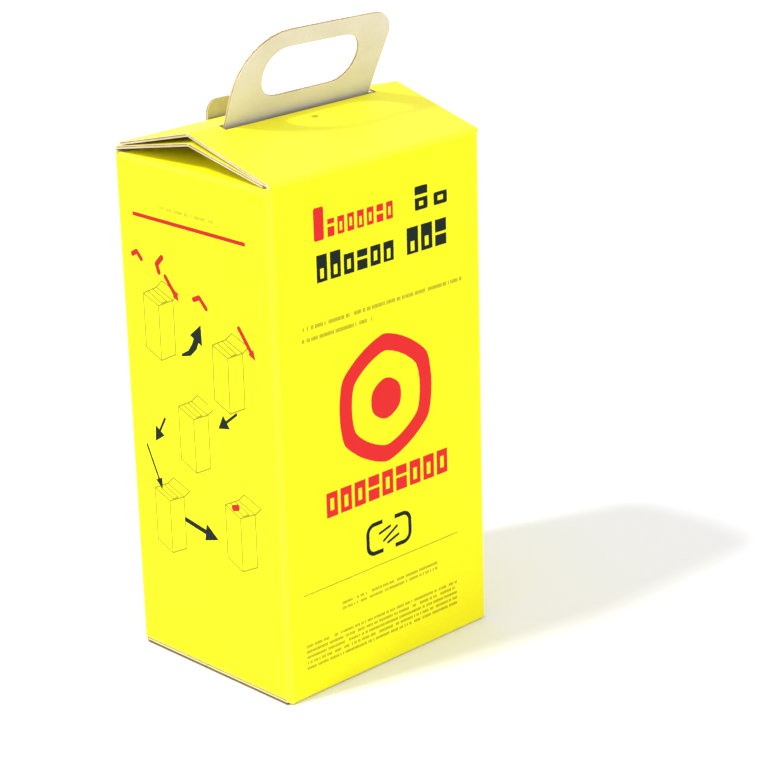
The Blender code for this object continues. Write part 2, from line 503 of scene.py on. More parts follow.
@dataclass
class Board:
    """A flat panel of micro-flute board, made about its crease and then laid in place.

    Attributes:
        name: Name of the finished piece.
        half: Half width at the crease.
        near: Where the board begins, from the crease.
        far: Where it ends.
        frame: Place of the panel.
        thickness: Thickness of the board.
        tip_half: Half width at the far edge, where that differs.
        corner: Radius of the two far corners, or of the one on the X side.
        other_corner: Radius of the far corner on the side of minus X, where it differs.
        holes: Openings and notches.
        hollow: Whether the waved medium shows at the edges.
        pitch: Distance between bending lines.
        lift: Height of the outer face over the crease.
        liner: Thickness of each liner.
        medium: Thickness of the waved medium.
        medium_inset: How far the medium stands back from the cut edge.
        wave_pitch: Length of one wave.
        wave_steps: Facets of one wave.
        margin: How far the wave runs past the outline before it is cut.
    """

    name: str
    half: float
    near: float
    far: float
    frame: Matrix
    thickness: float
    tip_half: float | None = None
    corner: float = 0.0
    other_corner: float | None = None
    holes: Sequence[Hole] = ()
    hollow: bool = True
    pitch: float = 7 * MM
    lift: float = 0.0
    liner: float = 0.34 * MM
    medium: float = 0.2 * MM
    medium_inset: float = 0.12 * MM
    wave_pitch: float = FLUTE_PITCH
    wave_steps: int = 8
    margin: float = 4 * MM

    def build(self) -> bpy.types.Object:
        """Model the panel and lay it in place.

        Returns:
            The piece, with its three material slots filled in by face.
        """
        if self.hollow:
            outer = self._sheet(-self.liner, 0.0)
            inner = self._sheet(-self.thickness, self.liner - self.thickness)
            piece = join([outer, inner, self._medium()], self.name)
        else:
            piece = self._sheet(-self.thickness, 0.0)
            piece.name = self.name
        widest = max(self.half, self.tip_half or 0)
        score_lines(piece, steps(-widest, widest, self.pitch), steps(self.near, self.far, self.pitch))
        self._mark_faces(piece)
        lay(piece, self.frame @ Matrix.Translation((0, 0, self.lift)))
        shade(piece)
        return settle(piece, self.name)

    def _sheet(self, low: float, high: float, inset: float = 0.0) -> bpy.types.Object:
        """Outline of the panel as a solid between two heights.

        Args:
            low: Lower face.
            high: Upper face.
            inset: How far it stands back from the outline.

        Returns:
            The solid.
        """
        sheet = slab(
            "sheet",
            (inset - self.half, self.near + inset, low),
            (self.half - inset, self.far - inset, high),
        )
        if self.tip_half is not None:
            with editing(sheet, "VERT"):
                select_where(sheet, "VERT", lambda co, _: co.y > (self.near + self.far) / 2)
                ratio = (self.tip_half - inset) / (self.half - inset)
                bpy.ops.transform.resize(value=(ratio, 1, 1), center_override=(0, 0, 0))
        far_half = (self.near + self.far) / 2
        if self.corner and self.other_corner is None:
            round_corners(sheet, self.corner, lambda at: at.y > far_half)
        elif self.corner:
            round_corners(sheet, self.corner, lambda at: at.y > far_half and at.x > 0)
            tip = self.far - inset - MM
            round_corners(sheet, self.other_corner, lambda at: at.y > tip and at.x < -self.half / 2)
        for hole in self.holes:
            grown = Hole(
                hole.half + inset, hole.near - inset, hole.far + inset, hole.radius, hole.square_far
            )
            combine(sheet, grown.cutter(), "DIFFERENCE")
        return sheet

    def _medium(self) -> bpy.types.Object:
        """Waved middle sheet, cut to the outline."""
        widest = max(self.half, self.tip_half or 0)
        span, length = 2 * widest, self.far - self.near
        step = self.wave_pitch / self.wave_steps
        height = (self.thickness - 2 * self.liner - self.medium) / 2
        deselect_all()
        bpy.ops.mesh.primitive_grid_add(x_subdivisions=self.wave_steps, y_subdivisions=1, size=1)
        wave = bpy.context.object
        wave.scale = (self.wave_pitch, length + 2 * self.margin, 1)
        settle(wave, "medium")
        with editing(wave, "VERT"):
            for index in range(self.wave_steps + 1):
                x = -self.wave_pitch / 2 + step * index
                bpy.ops.mesh.select_all(action="DESELECT")
                select_where(wave, "VERT", lambda co, _: abs(co.x - x) < step / 4)
                rise = height * math.cos(math.tau * index / self.wave_steps)
                bpy.ops.transform.translate(value=(0, 0, rise))
        count = math.ceil((span + 2 * self.margin) / self.wave_pitch)
        apply_modifier(
            wave, "ARRAY", count=count, use_relative_offset=False, use_constant_offset=True,
            constant_offset_displace=(self.wave_pitch, 0, 0), use_merge_vertices=True,
            merge_threshold=TOLERANCE,
        )
        apply_modifier(wave, "SOLIDIFY", thickness=self.medium, offset=0.0)
        middle = (self.near + self.far) / 2
        shift = -self.wave_pitch * (count - 1) / 2
        wave.matrix_world = Matrix.Translation((shift, middle, -self.thickness / 2))
        settle(wave, "medium")
        combine(wave, self._sheet(-self.thickness, 0.0, inset=self.medium_inset), "INTERSECT")
        return wave

    def _mark_faces(self, piece: bpy.types.Object) -> None:
        """Give the outer face, the inner face and the cut edges their slots."""
        for _ in Face:
            piece.data.materials.append(None)
        outer, inner = -TOLERANCE, TOLERANCE - self.thickness
        tests = {
            Face.CUT: lambda at, normal: True,
            Face.PRINTED: lambda at, normal: normal.z > 0.9 and at.z > outer,
            Face.KRAFT: lambda at, normal: normal.z < -0.9 and at.z < inner,
        }
        mark(piece, tests)


def mark(piece: bpy.types.Object, tests: dict[Face, Callable[[Vector, Vector], bool]]) -> None:
    """Assign material slots to faces by place and normal, later tests winning.

    Args:
        piece: The piece, with its slots made.
        tests: For each slot, the test that its faces pass.
    """
    with editing(piece, "FACE"):
        for face, test in tests.items():
            bpy.ops.mesh.select_all(action="DESELECT")
            select_where(piece, "FACE", test)
            piece.active_material_index = face.value
            bpy.ops.object.material_slot_assign()


@dataclass
class Crease:
    """A strip of crushed board that turns from one panel into the next.

    Attributes:
        name: Name of the finished piece.
        corner: Where the printed faces of the two panels would meet.
        arrive: Unit direction in which the first panel runs towards the corner.
        leave: Unit direction in which the second panel runs away from it.
        outward: Unit normal of the first panel's printed face.
        span: Lowest and highest place along the crease.
        thickness: Thickness of the board.
        tight: Radius of the inside of the fold.
        lead: Flat length at each end, so that the strip runs smoothly into its panels.
        segments: Facets round the fold.
    """

    name: str
    corner: Vector
    arrive: Vector
    leave: Vector
    outward: Vector
    span: tuple[float, float]
    thickness: float
    tight: float = 0.6 * MM
    lead: float = 0.4 * MM
    segments: int = 8

    def __post_init__(self) -> None:
        """Work out the fold's radius, centre and turn."""
        self.mountain = self.leave.dot(self.outward) < 0
        self.radius = self.tight + (self.thickness if self.mountain else 0)
        self.angle = self.arrive.angle(self.leave)
        self.tangent = self.radius * math.tan(self.angle / 2)
        side = -1 if self.mountain else 1
        self.start = self.corner - self.arrive * self.tangent
        self.end = self.corner + self.leave * self.tangent
        self.centre = self.start + self.outward * (side * self.radius)
        self.axis = self.arrive.cross(self.leave).normalized()

    @property
    def setback(self) -> float:
        """How far from the corner the flat panels begin."""
        return self.tangent + self.lead

    def build(self) -> bpy.types.Object:
        """Model the strip.

        Returns:
            The piece, with its three material slots filled in by face.
        """
        along = self.arrive.cross(self.outward)
        low, high = sorted((self.span[0], self.span[1]))
        if along.dot(Vector((1, 1, 1))) < 0:
            low, high = -high, -low
        block = slab("strip", (low, -self.lead, -self.thickness), (high, 0, 0))
        flat = self.start - along * self.start.dot(along)
        lay(block, panel_frame(flat, self.arrive, self.outward))
        with editing(block, "FACE"):
            select_where(block, "FACE", lambda at, normal: normal.dot(self.arrive) > 0.99)
            bpy.ops.mesh.spin(
                steps=self.segments, angle=-self.angle, center=self.centre, axis=self.axis, dupli=False
            )
            bpy.ops.mesh.extrude_region_move(TRANSFORM_OT_translate={"value": self.leave * self.lead})
            bpy.ops.mesh.select_all(action="SELECT")
            bpy.ops.mesh.remove_doubles(threshold=0.001 * MM)
            bpy.ops.mesh.normals_make_consistent(inside=False)
        self._mark_faces(block)
        shade(block)
        return settle(block, self.name)

    def _mark_faces(self, piece: bpy.types.Object) -> None:
        """Give the printed and kraft sides of the fold their slots."""
        for _ in Face:
            piece.data.materials.append(None)
        convex, concave = (Face.PRINTED, Face.KRAFT) if self.mountain else (Face.KRAFT, Face.PRINTED)

        def height(at: Vector, normal: Vector) -> float:
            """Distance of a skin face from the crease's centre, 0 for a face on an end."""
            return normal.dot(at - self.centre) * (abs(normal.dot(self.axis)) < 0.5)

        limit = self.tight + self.thickness / 2
        mark(
            piece,
            {
                Face.CUT: lambda at, normal: True,
                convex: lambda at, normal: height(at, normal) > limit,
                concave: lambda at, normal: height(at, normal) < -0.9 * self.tight,
            },
        )


# ------------------------------------------------------------------- finishes

Value = "Wire | float"


class Wire:
    """A shader socket that takes part in Python expressions."""

    def __init__(self, canvas: "Canvas", socket: bpy.types.NodeSocket) -> None:
        """Keep the socket and the canvas that new nodes go on."""
        self.canvas = canvas
        self.socket = socket

    def _join(self, operation: str, first: Value, second: Value) -> "Wire":
        """One Math node on two values."""
        return self.canvas.math(operation, first, second)

    def __add__(self, other: Value) -> "Wire":
        """Sum."""
        return self._join("ADD", self, other)

    def __radd__(self, other: Value) -> "Wire":
        """Sum, reflected."""
        return self._join("ADD", other, self)

    def __sub__(self, other: Value) -> "Wire":
        """Difference."""
        return self._join("SUBTRACT", self, other)

    def __rsub__(self, other: Value) -> "Wire":
        """Difference, reflected."""
        return self._join("SUBTRACT", other, self)

    def __mul__(self, other: Value) -> "Wire":
        """Product."""
        return self._join("MULTIPLY", self, other)

    def __rmul__(self, other: Value) -> "Wire":
        """Product, reflected."""
        return self._join("MULTIPLY", other, self)

    def __truediv__(self, other: Value) -> "Wire":
        """Quotient."""
        return self._join("DIVIDE", self, other)

    def __neg__(self) -> "Wire":
        """Opposite."""
        return self._join("SUBTRACT", 0.0, self)

    def __abs__(self) -> "Wire":
        """Size without the sign."""
        return self.canvas.math("ABSOLUTE", self)


class Canvas:
    """A material whose nodes are added one by one."""

    def __init__(self, name: str) -> None:
        """Start an empty node material.

        Args:
            name: The material's name.
        """
        self.material = bpy.data.materials.new(name)
        self.material.use_nodes = True
        self.tree = self.material.node_tree
        self.tree.nodes.clear()

    def node(
        self, kind: str, settings: dict | None = None, inputs: dict | None = None, output: int | str = 0
    ) -> Wire:
        """Add a node.

        Args:
            kind: Its type.
            settings: Its settings, set before its sockets.
            inputs: Values or wires by socket name or number.
            output: The socket that is returned.

        Returns:
            One output of the node.
        """
        node = self.tree.nodes.new(kind)
        for key, value in (settings or {}).items():
            setattr(node, key, value)
        for key, value in (inputs or {}).items():
            if isinstance(value, Wire):
                self.tree.links.new(value.socket, node.inputs[key])
            else:
                node.inputs[key].default_value = value
        return Wire(self, node.outputs[output]) if node.outputs else None

    def math(self, operation: str, *values: Value, clamp: bool = False) -> Wire:
        """One Math node.

        Args:
            operation: Its operation.
            *values: Its inputs.
            clamp: Whether its result is kept between 0 and 1.

        Returns:
            Its result.
        """
        settings = {"operation": operation, "use_clamp": clamp}
        return self.node("ShaderNodeMath", settings, dict(enumerate(values)))

    def vector(self, operation: str, *values: object, output: int = 0) -> Wire:
        """One Vector Math node.

        Args:
            operation: Its operation.
            *values: Its inputs.
            output: 0 for the vector, 1 for the value.

        Returns:
            Its result.
        """
        return self.node("ShaderNodeVectorMath", {"operation": operation}, dict(enumerate(values)), output)

    def length(self, vector: Wire) -> Wire:
        """Length of a vector."""
        return self.vector("LENGTH", vector, output=1)

    def dot(self, first: Wire, second: Sequence[float]) -> Wire:
        """Dot product of a vector and fixed numbers."""
        return self.vector("DOT_PRODUCT", first, second, output=1)

    def blend(self, factor: Value, first: object, second: object) -> Wire:
        """Mix of two colours.

        Args:
            factor: Share of the second.
            first: Colour or wire.
            second: Colour or wire.

        Returns:
            The mixed colour.
        """
        return self.node("ShaderNodeMix", {"data_type": "RGBA"}, {0: factor, 6: first, 7: second}, 2)

    def noise(self, at: Wire, scale: float, detail: float = 2.0, rough: float = 0.5) -> Wire:
        """Noise value at a place.

        Args:
            at: The place.
            scale: Its scale.
            detail: Its octaves.
            rough: Its roughness.

        Returns:
            A value round one half.
        """
        inputs = {"Vector": at, "Scale": scale, "Detail": detail, "Roughness": rough}
        return self.node("ShaderNodeTexNoise", None, inputs)

    def dice(self, key: Wire) -> Wire:
        """A value from 0 to 1 that depends on a whole number only."""
        return self.node("ShaderNodeTexWhiteNoise", {"noise_dimensions": "1D"}, {"W": key})

    def ramp(self, value: Wire, low: float, high: float) -> Wire:
        """Smooth step of a value from 0 at low to 1 at high."""
        settings = {"interpolation_type": "SMOOTHSTEP"}
        return self.node("ShaderNodeMapRange", settings, {0: value, 1: low, 2: high, 3: 0.0, 4: 1.0})

    def place(self) -> Wire:
        """Object coordinates in millimetres."""
        place = self.node("ShaderNodeTexCoord", None, None, "Object")
        return self.vector("MULTIPLY", place, (1 / MM, 1 / MM, 1 / MM))

    def parts(self, place: Wire) -> tuple[Wire, Wire, Wire]:
        """The three parts of a vector."""
        first = self.node("ShaderNodeSeparateXYZ", None, {0: place})
        outputs = first.socket.node.outputs
        return first, Wire(self, outputs[1]), Wire(self, outputs[2])

    def vec(self, x: Value, y: Value, z: Value) -> Wire:
        """A vector from three parts."""
        return self.node("ShaderNodeCombineXYZ", None, {0: x, 1: y, 2: z})

    def finish(self, colour: object, rough: Value, height: Wire | None, bump: float, **fixed: float) -> None:
        """Add the surface shader and its bump.

        Args:
            colour: Base colour.
            rough: Roughness.
            height: Height in millimetres for the bump, or none.
            bump: Strength of the bump.
            **fixed: Values set on the shader's own sockets, with spaces as underscores.
        """
        inputs: dict[str, object] = {"Base Color": colour, "Roughness": rough}
        for key, value in fixed.items():
            inputs[key.replace("_", " ")] = value
        if height is not None:
            inputs["Normal"] = self.node(
                "ShaderNodeBump", None, {"Strength": bump, "Distance": MM, "Height": height}
            )
        shader = self.node("ShaderNodeBsdfPrincipled", None, inputs)
        self.node("ShaderNodeOutputMaterial", None, {"Surface": shader})


class Pen:
    """Draws flat shapes as signed distances in millimetres, negative inside.

    Attributes:
        HEXAGON_ROUNDING: Reach of the rounding where two sides of a hexagon meet.
        CIRCLE_SHARE: Radius of the circle that a hexagon is mixed with, over its size.
        BLOCK_GAP: Half the gap between two blocks.
        LOW_CHANCE: A block whose dice shows more than this is a low one.
        SLIT_CHANCE: A block whose dice shows less than this has a slit, any other a window.
        SLIT_HALF: Half height of a slit.
        WINDOW: Half height of a window over the height of a low block, and half width over the pitch.
        WANDER: How far slits and windows spread up and down.
        SWITCH: Slope that turns a dice's throw into a distance.
        STROKE: Pitch of the strokes of small print.
    """

    HEXAGON_ROUNDING = 5.0
    CIRCLE_SHARE = 1.06
    BLOCK_GAP = 1.05
    LOW_CHANCE = 0.42
    SLIT_CHANCE = 0.55
    SLIT_HALF = 0.7
    WINDOW = (0.24, 0.13)
    WANDER = 3.0
    SWITCH = 20
    STROKE = 0.95

    def __init__(self, canvas: Canvas, across: Wire, up: Wire) -> None:
        """Take the two coordinates of the sheet.

        Args:
            canvas: The material being drawn.
            across: Millimetres to the reader's right.
            up: Millimetres up.
        """
        self.canvas = canvas
        self.across = across
        self.up = up
        self.at = canvas.vec(across, up, 0.0)

    def moved(self, place: Wire) -> "Pen":
        """A pen that draws in the coordinates of another place vector."""
        across, up, _ = self.canvas.parts(place)
        return Pen(self.canvas, across, up)

    def rect(self, left: float, right: float, low: float, high: float, radius: float = 0.0) -> Wire:
        """Rectangle.

        Args:
            left: Left side.
            right: Right side.
            low: Foot.
            high: Top.
            radius: Corner radius.

        Returns:
            The distance.
        """
        middle = ((left + right) / 2, (low + high) / 2, 0)
        half = ((right - left) / 2 - radius, (high - low) / 2 - radius, 0)
        folded = self.canvas.vector("ABSOLUTE", self.canvas.vector("SUBTRACT", self.at, middle))
        beyond = self.canvas.vector("SUBTRACT", folded, half)
        if radius:
            outside = self.canvas.vector("MAXIMUM", beyond, (0, 0, 0))
            return self.canvas.length(outside) - radius
        over, above, _ = self.canvas.parts(beyond)
        return self.canvas.math("MAXIMUM", over, above)

    def line(self, start: Point, end: Point, width: float, end_width: float | None = None) -> Wire:
        """Straight stroke with round ends.

        Args:
            start: Where it starts.
            end: Where it ends.
            width: Its width at the start.
            end_width: Its width at the end, if that differs.

        Returns:
            The distance.
        """
        run = (end[0] - start[0], end[1] - start[1], 0)
        square = run[0] ** 2 + run[1] ** 2
        reach = self.canvas.vector("SUBTRACT", self.at, (start[0], start[1], 0))
        scaled = tuple(part / square for part in run)
        share = self.canvas.dot(reach, scaled)
        share = self.canvas.math("ADD", share, 0.0, clamp=True)
        foot = self.canvas.vector("MULTIPLY", (run[0], run[1], 0.0), self.canvas.vec(share, share, share))
        away = self.canvas.length(self.canvas.vector("SUBTRACT", reach, foot))
        if end_width is None:
            return away - width / 2
        return away - (share * ((end_width - width) / 2) + width / 2)

    def path(self, points: Sequence[Point], width: float) -> Wire:
        """Chain of strokes."""
        return self.union(*(self.line(a, b, width) for a, b in zip(points, points[1:])))

    def arrow(self, start: Point, end: Point, width: float, head: float) -> Wire:
        """Arrow with a tapered head.

        Args:
            start: Its tail.
            end: Its point.
            width: Width of the shaft.
            head: Width of the head, which is as long as it is wide.

        Returns:
            The distance.
        """
        run = Vector((end[0] - start[0], end[1] - start[1]))
        neck = Vector(end) - run.normalized() * head
        shaft = self.line(start, tuple(neck), width)
        ahead = self.canvas.vector("SUBTRACT", self.at, (neck.x, neck.y, 0))
        way = run.normalized()
        behind = -self.canvas.dot(ahead, (way.x, way.y, 0))
        return self.union(shaft, self.meet(self.line(tuple(neck), end, head, 0.1), behind))

    def hexagon(self, middle: Point, size: float, roundness: float) -> Wire:
        """Upright hexagon with full sides and round corners.

        Args:
            middle: Its middle.
            size: Distance from its middle to a side.
            roundness: How close it comes to a circle, from 0 to 1.

        Returns:
            The distance.
        """
        from_middle = self.canvas.vector("SUBTRACT", self.at, (middle[0], middle[1], 0))
        sides = []
        for index in range(3):
            angle = math.radians(60) * index
            sides.append(abs(self.canvas.dot(from_middle, (math.cos(angle), math.sin(angle), 0))))
        widest = self.canvas.math("SMOOTH_MAX", sides[0], sides[1], self.HEXAGON_ROUNDING)
        hexagon = self.canvas.math("SMOOTH_MAX", widest, sides[2], self.HEXAGON_ROUNDING) - size
        circle = self.canvas.length(from_middle) - size * self.CIRCLE_SHARE
        return hexagon * (1 - roundness) + circle * roundness

    def ring(self, shape: Wire, width: float) -> Wire:
        """Outline of a shape, of a given width."""
        return abs(shape) - width / 2

    def union(self, first: Wire, *others: Wire) -> Wire:
        """All of several shapes."""
        for other in others:
            first = self.canvas.math("MINIMUM", first, other)
        return first

    def meet(self, first: Wire, *others: Wire) -> Wire:
        """What several shapes share."""
        for other in others:
            first = self.canvas.math("MAXIMUM", first, other)
        return first

    def blocks(self, span: Point, low: float, high: float, count: int, drop: float, seed: float) -> Wire:
        """A row of blocks, some lower than the rest, each with a slit or a window.

        Args:
            span: Where the row starts and ends.
            low: Foot of the blocks.
            high: Top of the tall blocks.
            count: Number of blocks.
            drop: How much lower the low blocks are.
            seed: Sets which blocks are low and what is cut out of them.

        Returns:
            The distance.
        """
        pitch = (span[1] - span[0]) / count
        cell = (self.across - span[0]) / pitch
        index = self.canvas.math("FLOOR", cell)
        aside = abs(cell - index - 0.5) * pitch
        inside = aside - (pitch / 2 - self.BLOCK_GAP)
        chance = self.canvas.dice(index + seed)
        top = high - self.canvas.math("GREATER_THAN", chance, self.LOW_CHANCE) * drop
        other = self.canvas.dice(index + seed + 40)
        level = low + (high - drop - low) * 0.5 + (other - 0.5) * self.WANDER
        from_level = abs(self.up - level)
        slit = self.union(self.SLIT_HALF - from_level, (other - self.SLIT_CHANCE) * self.SWITCH)
        tall, wide = (high - drop - low) * self.WINDOW[0], pitch * self.WINDOW[1]
        window = self.union(wide - aside, tall - from_level, (self.SLIT_CHANCE - other) * self.SWITCH)
        sheet = self.rect(span[0], span[1], low, high)
        return self.meet(sheet, inside, self.up - top, slit, window)

    def small_print(self, span: Point, low: float, high: float, rows: int, seed: float) -> Wire:
        """Rows of print too small to read, as short strokes with gaps between the words.

        Args:
            span: Where the rows start and end.
            low: Foot of the lowest row.
            high: Top of the highest row.
            rows: Number of rows.
            seed: Sets the words.

        Returns:
            The distance.
        """
        pitch = (high - low) / max(rows - 0.4, 0.6)
        line = (self.up - low) / pitch
        row = self.canvas.math("FLOOR", line)
        tall = (line - row - 0.3) * pitch
        cell = self.across / self.STROKE
        index = self.canvas.math("FLOOR", cell)
        wide = abs(cell - index - 0.5) * self.STROKE - 0.3
        key = self.canvas.vec(index, row, seed)
        chance = self.canvas.node("ShaderNodeTexWhiteNoise", {"noise_dimensions": "3D"}, {"Vector": key})
        gap = (chance - 0.8) * 4.0
        height = abs(tall) - pitch * 0.24
        return self.meet(self.rect(span[0], span[1], low, high), height, wide, gap)

    def mask(self, shape: Wire, softness: float = 0.2) -> Wire:
        """Coverage from 0 outside a shape to 1 inside."""
        return self.canvas.math("SUBTRACT", 0.5, shape / softness, clamp=True)


@dataclass(frozen=True)
class Palette:
    """Colours of the boards and inks, in linear light."""

    yellow: tuple = (0.99, 0.95, 0.013, 1)
    pale_yellow: tuple = (0.98, 0.92, 0.16, 1)
    kraft: tuple = (0.700, 0.655, 0.535, 1)
    kraft_dark: tuple = (0.610, 0.550, 0.410, 1)
    fibre: tuple = (0.42, 0.31, 0.15, 1)
    cut: tuple = (0.76, 0.64, 0.41, 1)
    red: tuple = (0.76, 0.022, 0.022, 1)
    # Darker, slightly more orange copy of the red ink for the narrow walls: the orange tint is the ink's
    # own, the darkening is painted shade offsetting the lamp that lights the left wall.
    side_red_painted_shade: tuple = (0.50, 0.018, 0.012, 1)
    black: tuple = (0.006, 0.014, 0.009, 1)
    grey: tuple = (0.21, 0.20, 0.014, 1)
    olive: tuple = (0.10, 0.11, 0.01, 1)


PALETTE = Palette()

Inks = list[tuple[Wire, tuple]]


class Reading(Enum):
    """How a sheet is read: which coordinate runs to the reader's right, and its sign."""

    FRONT = (0, 1)
    BACK = (0, -1)
    LEFT = (1, -1)
    RIGHT = (1, 1)


@dataclass(frozen=True)
class FrontArtwork:
    """Print of the two broad walls, in millimetres from the middle of the sheet's foot.

    Attributes:
        emblem: Middle of the emblem.
        emblem_size: Distance from its middle to the middle of its band.
    """

    emblem: Point = (1.5, 153)
    emblem_size: float = 28.6

    def inks(self, pen: Pen) -> Inks:
        """Shapes of each ink.

        Args:
            pen: The pen for the sheet.

        Returns:
            Coverage and colour of each ink, lowest first.
        """
        hexagon = pen.hexagon(self.emblem, self.emblem_size, 0.55)
        red = pen.union(
            pen.rect(-46, -39, 249.5, 267, 1.2),
            pen.blocks((-37.5, 11), 250, 259.5, 7, 0.0, 3.0),
            pen.ring(hexagon, 9.0),
            hexagon + 18.5,
            pen.blocks((-45, 47.5), 98, 112, 9, 0.0, 5.0),
        )
        badge = pen.rect(-14.8, 16.8, 67.2, 83.8, 5.0)
        black = pen.union(
            pen.meet(
                pen.rect(26, 35.5, 250, 263, 1.0), 0.8 - abs(pen.up - 257.5),
                -pen.rect(29.2, 32.3, 252.2, 254.6),
            ),
            pen.meet(pen.rect(40, 50, 250, 257, 1.0), -pen.rect(43, 47, 252.2, 254.8)),
            pen.blocks((-46, 11), 227.5, 242, 6, 3.6, 11.0),
            pen.blocks((18.5, 50), 227.5, 242, 3, 3.6, 20.0),
            pen.meet(pen.ring(badge, 2.4), 4.5 - abs(pen.across - 1.0)),
            pen.line((-6, 77.5), (2, 79.5), 1.5),
            pen.line((-3, 72.5), (7, 78), 1.5),
            pen.line((0, 70.5), (8, 73), 1.5),
        )
        faint = pen.union(
            pen.small_print((-57, 60), 204, 206.6, 1, 1.0),
            pen.small_print((-57, -6), 197.8, 200.4, 1, 2.0),
            pen.small_print((-35, 37), 42.5, 47.5, 2, 3.0),
            pen.small_print((-62, 52), 16.5, 31, 5, 4.0),
        )
        rule = pen.rect(-62.6, 53.6, 59.3, 59.8)
        grey = pen.union(faint, rule)
        return [
            (pen.mask(grey, 0.35) * 0.9, PALETTE.grey),
            (pen.mask(red), PALETTE.red),
            (pen.mask(black), PALETTE.black),
        ]


@dataclass(frozen=True)
class SideArtwork:
    """Print of the two narrow walls: how the box is set up and closed, in line drawings.

    Attributes:
        steps: Middle of each drawing of the box.
        thin: Width of the drawn lines.
    """

    steps: tuple[Point, ...] = ((-31, 193), (23, 176), (-7, 135), (-31, 82), (27, 88))
    thin: float = 0.9

    def inks(self, pen: Pen) -> Inks:
        """Shapes of each ink.

        Args:
            pen: The pen for the sheet.

        Returns:
            Coverage and colour of each ink, lowest first.
        """
        drawing = self._box(pen.moved(self._nearest(pen)))
        red = pen.union(
            pen.rect(-48, 41, 249.9, 252.2),
            pen.path([(-50, 228.5), (-46.5, 230.5), (-43, 227)], 2.9),
            pen.path([(-29, 222.5), (-30.5, 226.5), (-26, 231)], 3.2),
            pen.arrow((-24, 221), (-14, 209), 2.9, 5.0),
            pen.path([(-2, 213), (2.5, 215), (7.5, 210)], 2.9),
            pen.arrow((33, 205), (45, 190), 2.9, 5.5),
            pen.line((22, 103), (25, 104), 3.6),
        )
        black = pen.union(
            pen.line((-13.5, 180), (-7.5, 182.5), 1.6, 3.2),
            pen.line((-7.5, 182.5), (-3.5, 187), 3.2, 4.2),
            pen.arrow((-3.5, 187), (2.3, 200), 4.2, 10.5),
            pen.arrow((28, 157), (13, 145.5), 1.6, 8.5),
            pen.arrow((-31, 140), (-40, 125), 1.6, 8.5),
            pen.arrow((-47.5, 121), (-36.5, 98), 1.5, 6.0),
            pen.arrow((-18, 85), (8, 80.5), 2.9, 10.5),
        )
        faint = pen.small_print((-27, 17), 256.8, 259.4, 1, 6.0)
        return [
            (pen.mask(faint, 0.35) * 0.9, PALETTE.grey),
            (pen.mask(drawing, 0.35) * 0.76, PALETTE.olive),
            # The narrow walls' red is the darker copy of the red ink, partly painted shade.
            (pen.mask(red), PALETTE.side_red_painted_shade),
            (pen.mask(black), PALETTE.black),
        ]

    def _nearest(self, pen: Pen) -> Wire:
        """Place measured from the nearest drawing's middle."""
        canvas = pen.canvas
        best = canvas.vector("SUBTRACT", pen.at, (*self.steps[0], 0))
        reach = canvas.length(best)
        for step in self.steps[1:]:
            other = canvas.vector("SUBTRACT", pen.at, (*step, 0))
            length = canvas.length(other)
            nearer = canvas.math("LESS_THAN", length, reach)
            best = canvas.node("ShaderNodeMix", {"data_type": "VECTOR"}, {0: nearer, 4: best, 5: other}, 1)
            reach = canvas.math("MINIMUM", reach, length)
        return best

    def _box(self, pen: Pen) -> Wire:
        """One upright box seen from above its corner, with a flap raised."""
        walls = [(-12, 15), (-12, -15), (0, -20), (12, -14), (12, 16), (0, 10.5), (-12, 15)]
        body = pen.path(walls, self.thin)
        back = pen.path([(-12, 15), (-1, 20.5), (12, 16), (17, 20.5), (4, 25), (-1, 20.5)], self.thin)
        hatch = pen.path([(-8, 17), (3, 12.5), (7, 14.5), (-4, 19)], self.thin)
        return pen.union(body, back, hatch, pen.line((0, 10.5), (0, -20), self.thin))


@dataclass(frozen=True)
class RoofMarks:
    """What handling has left on the front slope: a small brown rub.

    Attributes:
        rub: Its colour.
        width: Its left and right side.
        height: Its foot and top, over the floor.
    """

    rub: tuple = (0.28, 0.17, 0.01, 1)
    width: Point = (-1.0, 3.5)
    height: Point = (297.65, 298.4)

    def inks(self, pen: Pen) -> Inks:
        """Shapes of each mark, in the slope's width and its height over the floor.

        Args:
            pen: The pen for the slope.

        Returns:
            Coverage and colour of each mark.
        """
        spot = pen.rect(*self.width, *self.height, 0.3)
        return [(pen.mask(spot, 0.7) * 0.85, self.rub)]


